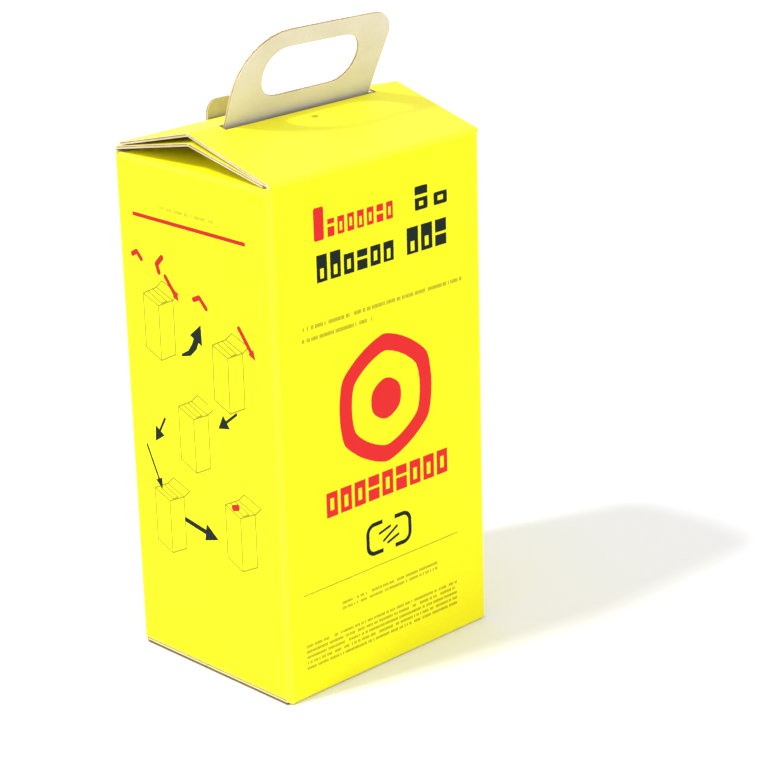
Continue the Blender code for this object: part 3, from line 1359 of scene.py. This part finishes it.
@dataclass(frozen=True)
class InkFilm:
    """Yellow ink over board: slightly mottled, rubbed at the folds, with the flutes showing through.

    Attributes:
        name: Name of the material.
        reading: Which coordinate runs across the flutes.
        artwork: What is printed over the yellow, if anything.
        worn: How much the ink is cracked, from 0 to 1.
        gloss: Strength of its reflections, less where the walls are printed over.
    """

    name: str
    reading: Reading = Reading.FRONT
    artwork: FrontArtwork | SideArtwork | RoofMarks | None = None
    worn: float = 0.0
    gloss: float = 0.08

    def build(self) -> bpy.types.Material:
        """Make the material.

        Returns:
            The material.
        """
        canvas = Canvas(self.name)
        place = canvas.place()
        parts = canvas.parts(place)
        index, sign = self.reading.value
        across = parts[index] * sign
        cloud = canvas.noise(place, 0.018, 3.0)
        mottle = canvas.noise(place, 0.55, 4.0, 0.65)
        grain = canvas.noise(place, 3.2, 3.0, 0.6)
        deep = tuple(value * factor for value, factor in zip(PALETTE.yellow, (0.965, 0.93, 0.8, 1)))
        shade_of = canvas.ramp(cloud * 0.6 + mottle * 0.4, 0.35, 0.65)
        colour = canvas.blend(shade_of, PALETTE.yellow, deep)
        missed = canvas.ramp(grain, 0.70, 0.80) * canvas.ramp(mottle, 0.50, 0.68)
        colour = canvas.blend(missed * 0.45, colour, PALETTE.pale_yellow)
        colour = self._rub(canvas, place, colour)
        flutes = canvas.math("SINE", across * (math.tau * MM / FLUTE_PITCH))
        edge = canvas.noise(place, 1.1, 3.0, 0.6)
        rough = 0.44 + mottle * 0.10 + grain * 0.06
        if self.artwork is not None:
            wobble = (edge - 0.5) * 0.5
            pen = Pen(canvas, across + wobble, parts[2] + wobble)
            cover = 1.0 - canvas.ramp(grain, 0.68, 0.80) * 0.12
            for mask, ink in self.artwork.inks(pen):
                colour = canvas.blend(mask * cover, colour, ink)
                rough = rough - mask * 0.05
        height = flutes * 0.018 + mottle * 0.05 + grain * 0.02
        canvas.finish(colour, rough, height, 0.55, Specular_IOR_Level=self.gloss)
        return canvas.material

    def _rub(self, canvas: Canvas, place: Wire, colour: Wire) -> Wire:
        """Crack the ink of a fold, where the board was crushed."""
        if not self.worn:
            return colour
        cracks = canvas.noise(place, 1.9, 4.0, 0.7)
        patch = canvas.noise(place, 0.09, 2.0)
        bare = canvas.ramp(cracks, 0.56, 0.66) * canvas.ramp(patch, 0.42, 0.62)
        rubbed = canvas.blend(bare * self.worn, colour, PALETTE.pale_yellow)
        through = canvas.ramp(cracks, 0.66, 0.72) * canvas.ramp(patch, 0.50, 0.66)
        return canvas.blend(through * self.worn, rubbed, PALETTE.kraft)


@dataclass(frozen=True)
class KraftPaper:
    """Raw liner: pale brown, matt, with fibres, specks and faint flutes.

    Attributes:
        name: Name of the material.
        light: Colour of the paper.
        dark: Colour of its darker patches.
        reading: Which coordinate runs across the flutes.
        flutes: Height of the flutes in millimetres.
    """

    name: str
    light: tuple = PALETTE.kraft
    dark: tuple = PALETTE.kraft_dark
    reading: Reading = Reading.FRONT
    flutes: float = 0.03

    def build(self) -> bpy.types.Material:
        """Make the material.

        Returns:
            The material.
        """
        canvas = Canvas(self.name)
        place = canvas.place()
        across = canvas.parts(place)[self.reading.value[0]]
        cloud = canvas.noise(place, 0.05, 4.0, 0.6)
        long_way = canvas.vector("MULTIPLY", place, (0.35, 2.2, 1.6))
        cross_way = canvas.vector("MULTIPLY", place, (2.4, 0.5, 0.3))
        fibres = canvas.noise(long_way, 0.9, 5.0, 0.7) * 0.5 + canvas.noise(cross_way, 0.8, 5.0, 0.7) * 0.5
        speck = canvas.noise(place, 1.4, 2.0, 0.5)
        tone = canvas.ramp(cloud * 0.45 + fibres * 0.55, 0.40, 0.62)
        colour = canvas.blend(tone * 0.55, self.light, self.dark)
        colour = canvas.blend(canvas.ramp(speck, 0.70, 0.76) * 0.5, colour, PALETTE.fibre)
        lighter = tuple(min(1.0, value * 1.13) for value in self.light)
        colour = canvas.blend(canvas.ramp(fibres, 0.56, 0.66) * 0.5, colour, lighter)
        line = canvas.math("SINE", across * (math.tau * MM / FLUTE_PITCH))
        height = line * self.flutes + fibres * 0.12 + speck * 0.03
        canvas.finish(colour, 0.80 + fibres * 0.12, height, 0.6, Specular_IOR_Level=0.25)
        return canvas.material


@dataclass
class Finishes:
    """Every material of the box, made once."""

    front: bpy.types.Material = field(init=False)
    back: bpy.types.Material = field(init=False)
    left: bpy.types.Material = field(init=False)
    right: bpy.types.Material = field(init=False)
    plain: bpy.types.Material = field(init=False)
    slope: bpy.types.Material = field(init=False)
    plain_side: bpy.types.Material = field(init=False)
    fold: bpy.types.Material = field(init=False)
    kraft: bpy.types.Material = field(init=False)
    kraft_side: bpy.types.Material = field(init=False)
    kraft_painted_shade: bpy.types.Material = field(init=False)
    cut: bpy.types.Material = field(init=False)
    cut_painted_shade: bpy.types.Material = field(init=False)

    def __post_init__(self) -> None:
        """Build the materials."""
        self.front = InkFilm("print_front", Reading.FRONT, FrontArtwork()).build()
        self.back = InkFilm("print_back", Reading.BACK, FrontArtwork()).build()
        self.left = InkFilm("print_left", Reading.LEFT, SideArtwork()).build()
        self.right = InkFilm("print_right", Reading.RIGHT, SideArtwork()).build()
        self.plain = InkFilm("yellow_ink", gloss=0.5).build()
        self.slope = InkFilm("yellow_ink_slope", artwork=RoofMarks(), gloss=0.5).build()
        self.plain_side = InkFilm("yellow_ink_side", Reading.LEFT).build()
        self.fold = InkFilm("yellow_ink_fold", worn=0.55, gloss=0.35).build()
        self.kraft = KraftPaper("kraft_liner").build()
        self.kraft_side = KraftPaper("kraft_liner_side", reading=Reading.LEFT).build()
        # Darker copy of the kraft for the lock tongue: painted shade, for the shade the tongue stands in
        # behind the handle.
        shaded_kraft = tuple(value * 0.72 for value in PALETTE.kraft[:3]) + (1,)
        self.kraft_painted_shade = KraftPaper("kraft_liner_painted_shade", shaded_kraft, PALETTE.fibre).build()
        self.cut = KraftPaper("cut_edge", PALETTE.cut, PALETTE.fibre, flutes=0.0).build()
        # Cut edge at a third of its brightness for the bottom boards: painted shade, for the shadowed gap
        # along the foot of the walls.
        shaded_cut = tuple(value * 0.34 for value in PALETTE.cut[:3]) + (1,)
        self.cut_painted_shade = KraftPaper("cut_edge_painted_shade", shaded_cut, PALETTE.fibre, flutes=0.0).build()

    def dress(
        self, piece: bpy.types.Object, printed: bpy.types.Material, inner: bpy.types.Material | None = None
    ) -> None:
        """Fill a piece's three slots.

        Args:
            piece: The piece.
            printed: Material of its outer face.
            inner: Material of its inner face, plain kraft if none is given.
        """
        slots = piece.data.materials
        slots[Face.PRINTED.value] = printed
        slots[Face.KRAFT.value] = inner or self.kraft
        slots[Face.CUT.value] = self.cut


# --------------------------------------------------------------- sub-assemblies


@dataclass
class Assembly:
    """A group of pieces that share the plan and the finishes.

    Attributes:
        plan: Sizes and places of the folded sheet.
        finishes: The materials.
        pieces: What has been built so far.
    """

    plan: Plan
    finishes: Finishes
    pieces: list[bpy.types.Object] = field(default_factory=list, init=False)

    def panel(
        self,
        board: Board,
        body: str,
        node: str,
        printed: bpy.types.Material | None = None,
        inner: bpy.types.Material | None = None,
        slot: str = "yellow_board",
    ) -> bpy.types.Object:
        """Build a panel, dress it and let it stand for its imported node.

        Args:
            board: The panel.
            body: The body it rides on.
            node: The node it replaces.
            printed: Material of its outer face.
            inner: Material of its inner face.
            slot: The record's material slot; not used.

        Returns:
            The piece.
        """
        piece = board.build()
        self.finishes.dress(piece, printed or self.finishes.plain, inner)
        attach(piece, body)
        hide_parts(node)
        self.pieces.append(piece)
        LOG.info("%s stands for %s on %s, %d faces", piece.name, node, body, len(piece.data.polygons))
        return piece

    def fold(self, crease: Crease, body: str, moving: str | None = None) -> bpy.types.Object:
        """Build a crease and hang it on one body, or, where its second panel moves, leave it fixed on no
        body.

        Args:
            crease: The strip.
            body: The body of its first panel.
            moving: The body of its second panel, where that moves.

        Returns:
            The piece.
        """
        piece = crease.build()
        self.finishes.dress(piece, self.finishes.fold)
        if moving is None:
            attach(piece, body)
        else:
            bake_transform(piece)
        self.pieces.append(piece)
        LOG.info("%s folds %s, %d faces", piece.name, body, len(piece.data.polygons))
        return piece


@dataclass
class Tube(Assembly):
    """The four walls, the folds at their corners and the flap glued inside the last one.

    Attributes:
        raw_edge: How far the cut edge of the right wall stands in from the back.
        corner_relief: How far the corner folds stop short at their foot and head.
        line_pitch: Spacing of the lines that the walls bend along.
        front_bow: How far the front wall bows inwards; back_bow and side_bow likewise.
        belly_reach: Radius of each push that makes a bow.
        belly_spacing: Distance of the pushes above and below the middle of a bow.
        broad_middle: Height of the middle of a bow in the broad walls.
        narrow_middle: Height of the middle of a bow in the narrow walls.
        glue_taper: How much the glue flap narrows to its edge, at each end.
    """

    raw_edge: float = 0.7 * MM
    corner_relief: float = 2.0 * MM
    line_pitch: float = 14 * MM
    front_bow: float = 0.45 * MM
    back_bow: float = 0.4 * MM
    side_bow: float = 0.5 * MM
    broad_middle: float = 150 * MM
    narrow_middle: float = 140 * MM
    belly_reach: float = 52 * MM
    belly_spacing: float = 55 * MM
    glue_taper: float = 10 * MM

    def build(self) -> None:
        """Build the walls, the corner folds and the glue flap."""
        plan, made = self.plan, self.finishes
        x, y, z = Axis.X.value, Axis.Y.value, Axis.Z.value
        half_w, half_d = plan.half_width, plan.half_depth
        turn = self._corner("corner_fold_front_left", Vector((-half_w, -half_d, 0)), -x, y, -y)
        self._corner("corner_fold_front_right", Vector((half_w, -half_d, 0)), x, y, -y)
        self._corner("corner_fold_back_left", Vector((-half_w, half_d, 0)), -x, -y, y)
        side = turn.setback
        glued_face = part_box("glue_flap")[1].x
        self._corner("corner_fold_glue_flap", Vector((glued_face, half_d, 0)), x, -y, y)

        top = plan.front_crease.z - self._roof_fold_setback(plan.front_slope(), z, -y)
        front = Board(
            "front_wall_sheet", half_w - side, side, top, panel_frame(Vector((0, -half_d, 0)), z, -y),
            plan.board, hollow=False, pitch=self.line_pitch,
        )
        piece = self.panel(front, "carton", "front_wall", made.front)
        self._bow(piece, Vector((0, -half_d, self.broad_middle)), self.front_bow)

        top = plan.back_crease.z - self._roof_fold_setback(plan.inner_back_slope(), z, y)
        right_end = glued_face - side
        middle = (right_end - half_w + side) / 2
        back = Board(
            "back_wall_sheet", (right_end + half_w - side) / 2, side, top,
            panel_frame(Vector((middle, half_d, 0)), z, y), plan.board, hollow=False,
            pitch=self.line_pitch,
        )
        piece = self.panel(back, "carton", "back_wall", made.back)
        self._bow(piece, Vector((0, half_d, self.broad_middle)), self.back_bow)

        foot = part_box("left_wall")[0].z
        for name, sign, rear, printed in (
            ("left", -1, half_d - side, made.left),
            ("right", 1, half_d - self.raw_edge, made.right),
        ):
            middle = (rear - half_d + side) / 2
            wall = Board(
                name + "_wall_sheet", (rear + half_d - side) / 2, foot + side, plan.side_crease_z - side,
                panel_frame(Vector((sign * half_w, middle, 0)), z, x * sign), plan.board,
                hollow=False, pitch=self.line_pitch,
            )
            piece = self.panel(wall, "carton", name + "_wall", printed, made.kraft_side)
            self._bow(piece, Vector((sign * half_w, 0, self.narrow_middle)), self.side_bow)
        self._glue_flap(glued_face, side)

    def _roof_fold_setback(self, slope: Slope, arrive: Vector, outward: Vector) -> float:
        """How far below the roof crease a wall's flat part ends."""
        span = (0, 1)
        return Crease("", slope.crease, arrive, slope.away, outward, span, self.plan.board).setback

    def _corner(self, name: str, corner: Vector, arrive: Vector, leave: Vector, outward: Vector) -> Crease:
        """Fold between two walls."""
        span = (self.corner_relief, self.plan.front_crease.z - self.corner_relief)
        crease = Crease(name, corner, arrive, leave, outward, span, self.plan.board, segments=10)
        self.fold(crease, "carton")
        return crease

    def _bow(self, piece: bpy.types.Object, middle: Vector, depth: float) -> None:
        """Let a wall belly inwards a little between its folds."""
        inward = Vector((-middle.x, -middle.y, 0)).normalized()
        for height in (-self.belly_spacing, self.belly_spacing):
            press(piece, middle + Axis.Z.value * height, inward * depth, self.belly_reach)

    def _glue_flap(self, face: float, side: float) -> None:
        """Flap of the back wall, glued inside the right wall."""
        low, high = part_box("glue_flap")
        x, y = Axis.X.value, Axis.Y.value
        root = Vector((face, self.plan.half_depth, (low.z + high.z) / 2))
        half = (high.z - low.z) / 2
        board = Board(
            "glue_flap_board", half, side, self.plan.half_depth - low.y, panel_frame(root, -y, x),
            self.plan.board, tip_half=half - self.glue_taper,
        )
        self.panel(
            board, "carton", "glue_flap", self.finishes.kraft_side, self.finishes.kraft_side, "kraft_board"
        )


@dataclass
class Base(Assembly):
    """Two broad flaps that meet underneath, two narrow ones inside, and the lock tongue.

    Attributes:
        side_span: Half length of the folds of the narrow flaps.
        front_span: Half length of the folds of the broad flaps.
        tongue_corner: Corner radius of the lock tongue.
        flap_corner: Corner radius of the narrow flaps.
        line_pitch: Spacing of the lines that the flaps bend along.
    """

    line_pitch: float = 12 * MM
    side_span: float = 57.6 * MM
    front_span: float = 73.4 * MM
    tongue_corner: float = 7 * MM
    flap_corner: float = 6 * MM

    def build(self) -> None:
        """Build the flaps with their folds."""
        plan, made = self.plan, self.finishes
        x, y, z = Axis.X.value, Axis.Y.value, Axis.Z.value
        for name, sign in (("front", -1), ("back", 1)):
            low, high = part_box("bottom_flap_" + name)
            corner = Vector((0, sign * plan.half_depth, 0))
            crease = Crease(
                f"bottom_fold_{name}", corner, -z, y * -sign, y * sign,
                (-self.front_span, self.front_span), plan.board,
            )
            self.fold(crease, "carton")
            seam = high.y if sign < 0 else low.y
            board = Board(
                f"bottom_board_{name}", plan.half_width, crease.setback, abs(seam - corner.y),
                panel_frame(corner, y * -sign, -z), plan.board, pitch=self.line_pitch,
            )
            piece = self.panel(board, "carton", f"bottom_flap_{name}")
            # The bottom boards' cut edges take the darkened cut edge, as painted shade.
            piece.data.materials[Face.CUT.value] = made.cut_painted_shade
        for name, sign in (("left", -1), ("right", 1)):
            low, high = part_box("bottom_flap_" + name)
            corner = Vector((sign * plan.half_width, 0, low.z))
            crease = Crease(
                f"bottom_fold_{name}", corner, -z, x * -sign, x * sign,
                (-self.side_span, self.side_span), plan.board,
            )
            self.fold(crease, "carton")
            end = high.x if sign < 0 else low.x
            board = Board(
                f"bottom_board_{name}", high.y, crease.setback, abs(end - corner.x),
                panel_frame(corner, x * -sign, -z), plan.board, pitch=self.line_pitch,
                corner=self.flap_corner,
            )
            self.panel(board, "carton", f"bottom_flap_{name}", made.plain_side, made.kraft_side)
        low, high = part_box("bottom_lock_tongue")
        tongue = Board(
            "bottom_lock_board", high.x, 0.0, high.y - low.y,
            panel_frame(Vector((0, low.y, low.z)), y, -z), plan.board, corner=self.tongue_corner,
        )
        self.panel(tongue, "carton", "bottom_lock_tongue")


@dataclass
class DustFlaps(Assembly):
    """The two side flaps that lie flat under the roof.

    Attributes:
        root_half: Half width at the fold.
        tip_half: Half width at the far edge.
        corner: Radius of the two far corners.
        fold_half: Half length of the fold.
    """

    root_half: float = 55 * MM
    tip_half: float = 47 * MM
    corner: float = 8 * MM
    fold_half: float = 57.6 * MM

    def build(self) -> None:
        """Build the flaps with their folds."""
        plan, made = self.plan, self.finishes
        x, z = Axis.X.value, Axis.Z.value
        for name, sign in (("left", -1), ("right", 1)):
            low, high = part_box("dust_flap_" + name)
            corner = Vector((sign * plan.half_width, 0, high.z))
            body = name + "_dust_flap"
            crease = Crease(
                f"dust_flap_fold_{name}", corner, z, x * -sign, x * sign,
                (-self.fold_half, self.fold_half), plan.board,
            )
            self.fold(crease, "carton", body)
            end = high.x if sign < 0 else low.x
            board = Board(
                f"dust_flap_board_{name}", self.root_half, crease.setback, abs(end - corner.x),
                panel_frame(corner, x * -sign, z), plan.board, tip_half=self.tip_half, corner=self.corner,
            )
            self.panel(board, body, "dust_flap_" + name, made.plain_side, made.kraft_side)


@dataclass
class LowerRoof(Assembly):
    """Lower layer of the roof: the back slope with its aperture, the wings and the lock tongue.

    Attributes:
        tongue_gap: Gap between the lock tongue and the panel that it is cut from.
        tongue_corner: Corner radius of the lock tongue.
        aperture_half: Half width of the aperture.
        aperture_span: How far behind the middle of the box the aperture begins and ends.
        aperture_corner: Corner radius of the aperture.
        tongue_pitch: Spacing of the lines that the lock tongue bends along.
    """

    tongue_pitch: float = 4 * MM
    tongue_gap: float = 0.5 * MM
    tongue_corner: float = 7 * MM
    aperture_half: float = 17 * MM
    aperture_span: tuple[float, float] = (12 * MM, 40 * MM)
    aperture_corner: float = 5 * MM

    def build(self) -> None:
        """Build the back slope, its folds, the wings and the tongue."""
        plan = self.plan
        y, z = Axis.Y.value, Axis.Z.value
        slope = plan.inner_back_slope()
        wing = plan.wing_slope()
        tongue_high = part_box("roof_lock_tongue")[1]
        void = tongue_high.x + self.tongue_gap
        back = self._folds("back_fold", slope.crease, z, slope.away, y, void, plan.roof_half)
        wing_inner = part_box("roof_wing_right")[0].x
        ridge = self._folds(
            "wing_fold", slope.at(slope.length), slope.away, wing.away, slope.outward, wing_inner,
            plan.roof_half,
        )
        near, far = ((plan.half_depth - place) / -slope.away.y for place in reversed(self.aperture_span))
        void_depth = tongue_high.z - plan.back_crease.z + self.tongue_gap
        board = Board(
            "back_roof_board", plan.roof_half, back.setback, slope.length - ridge.setback, slope.frame(),
            plan.board,
            holes=(
                Hole(self.aperture_half, near, far, self.aperture_corner),
                Hole(void, -void_depth, void_depth, self.tongue_corner),
            ),
        )
        self.panel(board, "carton", "back_roof_panel")
        for name, sign in (("left", -1), ("right", 1)):
            middle = (wing_inner + plan.roof_half) / 2
            part = Board(
                f"roof_wing_board_{name}", (plan.roof_half - wing_inner) / 2, ridge.setback, wing.length,
                wing.frame(sign * middle), plan.board,
            )
            self.panel(part, "carton", f"roof_wing_{name}")
        self._tongue(tongue_high, back.setback)

    def _folds(
        self, name: str, corner: Vector, arrive: Vector, leave: Vector, outward: Vector,
        inner: float, outer: float,
    ) -> Crease:
        """The same fold on both sides of the middle."""
        for side, sign in (("left", -1), ("right", 1)):
            span = (sign * inner, sign * outer)
            crease = Crease(f"{name}_{side}", corner, arrive, leave, outward, span, self.plan.board)
            self.fold(crease, "carton")
        return crease

    def _tongue(self, high: Vector, setback: float) -> None:
        """Lock tongue that stands up out of the back wall."""
        plan = self.plan
        y, z = Axis.Y.value, Axis.Z.value
        root = plan.back_crease.z - setback
        place = panel_frame(Vector((0, plan.half_depth, root)), z, y)
        board = Board(
            "roof_lock_board", high.x, 0.0, high.z - root, place, plan.board,
            corner=self.tongue_corner, pitch=self.tongue_pitch,
        )
        # The tongue's inner face takes the darker kraft, as painted shade.
        self.panel(board, "carton", "roof_lock_tongue", inner=self.finishes.kraft_painted_shade)


@dataclass
class CarryingHandle(Assembly):
    """The handle that stands up through the slot in the ridge, and its crease.

    Attributes:
        lean: How far it leans forward.
        root_half: Half width at its foot.
        top_half: Half width at its top, before its corners are rounded.
        height: Its height along its own plane.
        left_corner: Radius of its left top corner, seen from the front.
        right_corner: Radius of its right top corner.
        grip_half: Half width of the grip.
        grip_low: Foot of the grip, over the handle's crease.
        grip_high: Top of the grip.
        grip_corner: Corner radius of the grip.
        warps: Place across its top over its half width, push in millimetres and radius of each warp.
    """

    lean: float = math.radians(23)
    root_half: float = 51 * MM
    top_half: float = 53 * MM
    height: float = 56.5 * MM
    left_corner: float = 33 * MM
    right_corner: float = 16 * MM
    grip_half: float = 33 * MM
    grip_low: float = 16.9 * MM
    grip_high: float = 46.4 * MM
    grip_corner: float = 14 * MM
    warps: tuple[tuple[float, float, float], ...] = ((0.8, -1.2, 45), (-0.7, 0.8, 40))

    def build(self) -> None:
        """Build the handle and its crease."""
        plan = self.plan
        root = plan.joints["handle_lean"]
        away = Vector((0, -math.sin(self.lean), math.cos(self.lean)))
        outward = Vector((0, math.cos(self.lean), math.sin(self.lean)))
        slope = plan.inner_back_slope()
        face = root + outward * (plan.board / 2)
        run = (slope.crease - face).dot(slope.outward) / away.dot(slope.outward)
        corner = face + away * run
        crease = Crease(
            "handle_fold", corner, slope.away, away, slope.outward,
            (-self.root_half, self.root_half), plan.board,
        )
        self.fold(crease, "carton", "carrying_handle")
        board = Board(
            "handle_board", self.root_half, run + crease.setback, self.height,
            panel_frame(root, away, outward), plan.board, tip_half=self.top_half,
            corner=self.left_corner, other_corner=self.right_corner,
            holes=(Hole(self.grip_half, self.grip_low, self.grip_high, self.grip_corner),),
            lift=plan.board / 2,
        )
        piece = self.panel(board, "carrying_handle", "handle", slot="kraft_board")
        top = root + away * self.height
        for share, push, reach in self.warps:
            press(piece, top + Axis.X.value * (self.top_half * share), outward * (push * MM), reach * MM)


@dataclass
class UpperRoof(Assembly):
    """Upper layer of the roof: the front slope with the handle slot, its tail and the lid.

    Attributes:
        slot_half: Half width of the handle slot.
        slot_depth: How far the slot reaches down the slope.
        window_half: Half width of the opening that the lid was cut from.
        window_gap: Gap between the lid's free edge and the opening.
        lid_corner: Radius of the lid's free corners.
        hinge_half: Half width of the crease strip of the lid.
        groove: Depth of that crease.
        hollows: Place across, place up the slope, depth and radius of each hollow, in millimetres.
    """

    slot_half: float = 53.7 * MM
    slot_depth: float = 5.5 * MM
    window_half: float = 19.4 * MM
    window_gap: float = 0.5 * MM
    lid_corner: float = 5 * MM
    hinge_half: float = 1.0 * MM
    groove: float = 0.3 * MM
    hollows: tuple[tuple[float, float, float, float], ...] = (
        (58, 40, 0.7, 13), (50, 30, -0.3, 14), (22, 36, 0.45, 16), (-35, 30, -0.35, 20), (0, 18, 0.4, 15)
    )

    def build(self) -> None:
        """Build the slopes, the lid and their folds."""
        plan = self.plan
        y, z = Axis.Y.value, Axis.Z.value
        slope, tail = plan.front_slope(), plan.tail_slope()
        half = plan.roof_half
        front = Crease("front_roof_fold", slope.crease, z, slope.away, -y, (-half, half), plan.board)
        self.fold(front, "carton", "roof_flap")
        for side, sign in (("left", -1), ("right", 1)):
            span = (sign * self.slot_half, sign * half)
            ridge = Crease(
                f"ridge_fold_{side}", tail.crease, slope.away, tail.away, slope.outward, span, plan.board
            )
            self.fold(ridge, "roof_flap", "roof_tail")
        board = Board(
            "front_roof_board", half, front.setback, slope.length - ridge.setback, slope.frame(), plan.board,
            holes=(Hole(self.slot_half, slope.length - self.slot_depth, slope.length + self.slot_depth),),
            pitch=5 * MM,
        )
        piece = self.panel(board, "roof_flap", "front_roof_panel", self.finishes.slope)
        self._dent(piece, slope)
        self._tail_and_lid(tail, ridge.setback)

    def _dent(self, piece: bpy.types.Object, slope: Slope) -> None:
        """Soft hollows that packing and carrying have left in the front slope."""
        for x, reach, depth, radius in self.hollows:
            middle = slope.at(reach * MM) + Axis.X.value * (x * MM)
            press(piece, middle, slope.outward * (-depth * MM), radius * MM)

    def _tail_and_lid(self, tail: Slope, setback: float) -> None:
        """Rear half of the upper layer with the lid cut out of it.

        Args:
            tail: Its slope.
            setback: Where its flat part begins, from the ridge.
        """
        plan = self.plan
        lid = plan.lid_slope()
        hinge = (lid.crease - tail.crease).length
        near = hinge - lid.length - self.window_gap
        rounding = self.lid_corner + self.window_gap
        board = Board(
            "roof_tail_board", plan.roof_half, setback, tail.length, tail.frame(), plan.board,
            holes=(Hole(self.window_half, near, hinge + self.hinge_half, rounding, square_far=True),),
        )
        self.panel(board, "roof_tail", "front_roof_tail")
        cover = Board(
            "disposal_lid_board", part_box("disposal_lid")[1].x, self.hinge_half, lid.length, lid.frame(),
            plan.board, corner=self.lid_corner,
        )
        self.panel(cover, "lid", "disposal_lid")
        strip = Board(
            "disposal_lid_fold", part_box("disposal_lid")[1].x, -self.hinge_half, self.hinge_half,
            lid.frame(), plan.board, hollow=False, pitch=0.4 * MM,
        ).build()
        self.finishes.dress(strip, self.finishes.fold)
        press(strip, lid.crease, -lid.outward * self.groove, self.hinge_half)
        lid.at(-self.hinge_half)
        lid.at(self.hinge_half)
        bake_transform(strip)
        self.pieces.append(strip)


# ------------------------------------------------------------------ the studio


@dataclass(frozen=True)
class Studio:
    """Pale floor, even white surroundings, one soft lamp and the camera.

    Attributes:
        aim: Point that the camera looks at.
        azimuth: Direction of the camera, 0 in front and negative to the left.
        elevation: Height of the camera over the horizon.
        roll: Turn about its own view.
        distance: Distance from the aim.
        lens: Focal length in millimetres.
        sensor: Width of the sensor in millimetres.
        surroundings: Strength of the white all round.
        sunward: Direction of the lamp.
        sun_power: Strength of the lamp.
        sun_spread: Angle that the lamp fills, which softens its shadows.
        floor_colour: Colour of the floor.
        floor_size: Width of the floor.
    """

    aim: tuple[float, float, float] = (0.0317, -0.0277, 0.1448)
    azimuth: float = math.radians(-43.915)
    elevation: float = math.radians(19.837)
    roll: float = math.radians(-1.607)
    distance: float = 1.39
    lens: float = 119.4
    sensor: float = 36.0
    surroundings: float = 0.98
    sunward: tuple[float, float, float] = (-0.72, 0.22, 1.0)
    sun_power: float = 2.4
    sun_spread: float = math.radians(9)
    floor_colour: tuple = (0.885, 0.88, 0.92, 1)
    floor_size: float = 6.0

    def camera(self) -> bpy.types.Object:
        """Set up the camera.

        Returns:
            The camera.
        """
        back = Vector((
            math.sin(self.azimuth) * math.cos(self.elevation),
            -math.cos(self.azimuth) * math.cos(self.elevation),
            math.sin(self.elevation),
        ))
        right = (-back).cross(Axis.Z.value).normalized()
        up = right.cross(-back)
        level = Matrix((right, up, back)).transposed()
        place = Vector(self.aim) + back * self.distance
        deselect_all()
        bpy.ops.object.camera_add(location=place)
        camera = bpy.context.object
        camera.name = "camera"
        turned = level @ Matrix.Rotation(self.roll, 3, "Z")
        camera.matrix_world = Matrix.Translation(place) @ turned.to_4x4()
        camera.data.lens = self.lens
        camera.data.sensor_width = self.sensor
        camera.data.clip_start = 0.01
        bpy.context.scene.camera = camera
        return camera

    def floor(self) -> bpy.types.Object:
        """Lay the floor.

        Returns:
            The floor.
        """
        deselect_all()
        bpy.ops.mesh.primitive_plane_add(size=self.floor_size, location=(0, 0, -0.05 * MM))
        floor = settle(bpy.context.object, "floor")
        canvas = Canvas("floor_paper")
        grain = canvas.noise(canvas.place(), 0.4, 3.0)
        darker = tuple(value * 0.99 for value in self.floor_colour)
        colour = canvas.blend(grain, self.floor_colour, darker)
        canvas.finish(colour, 0.9, None, 0.0, Specular_IOR_Level=0.1)
        floor.data.materials.append(canvas.material)
        return floor

    def light(self) -> None:
        """Light the scene evenly, with one soft lamp from the left."""
        scene = bpy.context.scene
        scene.view_settings.view_transform = "Standard"
        world = bpy.data.worlds.new("surroundings")
        scene.world = world
        world.use_nodes = True
        world.node_tree.nodes["Background"].inputs["Color"].default_value = (1, 1, 1, 1)
        world.node_tree.nodes["Background"].inputs["Strength"].default_value = self.surroundings
        deselect_all()
        bpy.ops.object.light_add(type="SUN", location=Vector(self.sunward))
        lamp = bpy.context.object
        lamp.name = "key_lamp"
        lamp.data.energy = self.sun_power
        lamp.data.angle = self.sun_spread
        lamp.rotation_euler = (-Vector(self.sunward)).to_track_quat("-Z", "Y").to_euler()


def main() -> None:
    """Build the box and its studio."""
    logging.basicConfig(level=logging.INFO, format="%(name)s: %(message)s")
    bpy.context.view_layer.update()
    studio = Studio()
    studio.camera()
    plan = Plan(frame["joints"])
    finishes = Finishes()
    for kind in (Tube, Base, DustFlaps, LowerRoof, CarryingHandle, UpperRoof):
        assembly = kind(plan, finishes)
        assembly.build()
        LOG.info("%s has %d pieces", kind.__name__, len(assembly.pieces))
    studio.floor()
    studio.light()


if __name__ == "__main__":
    main()
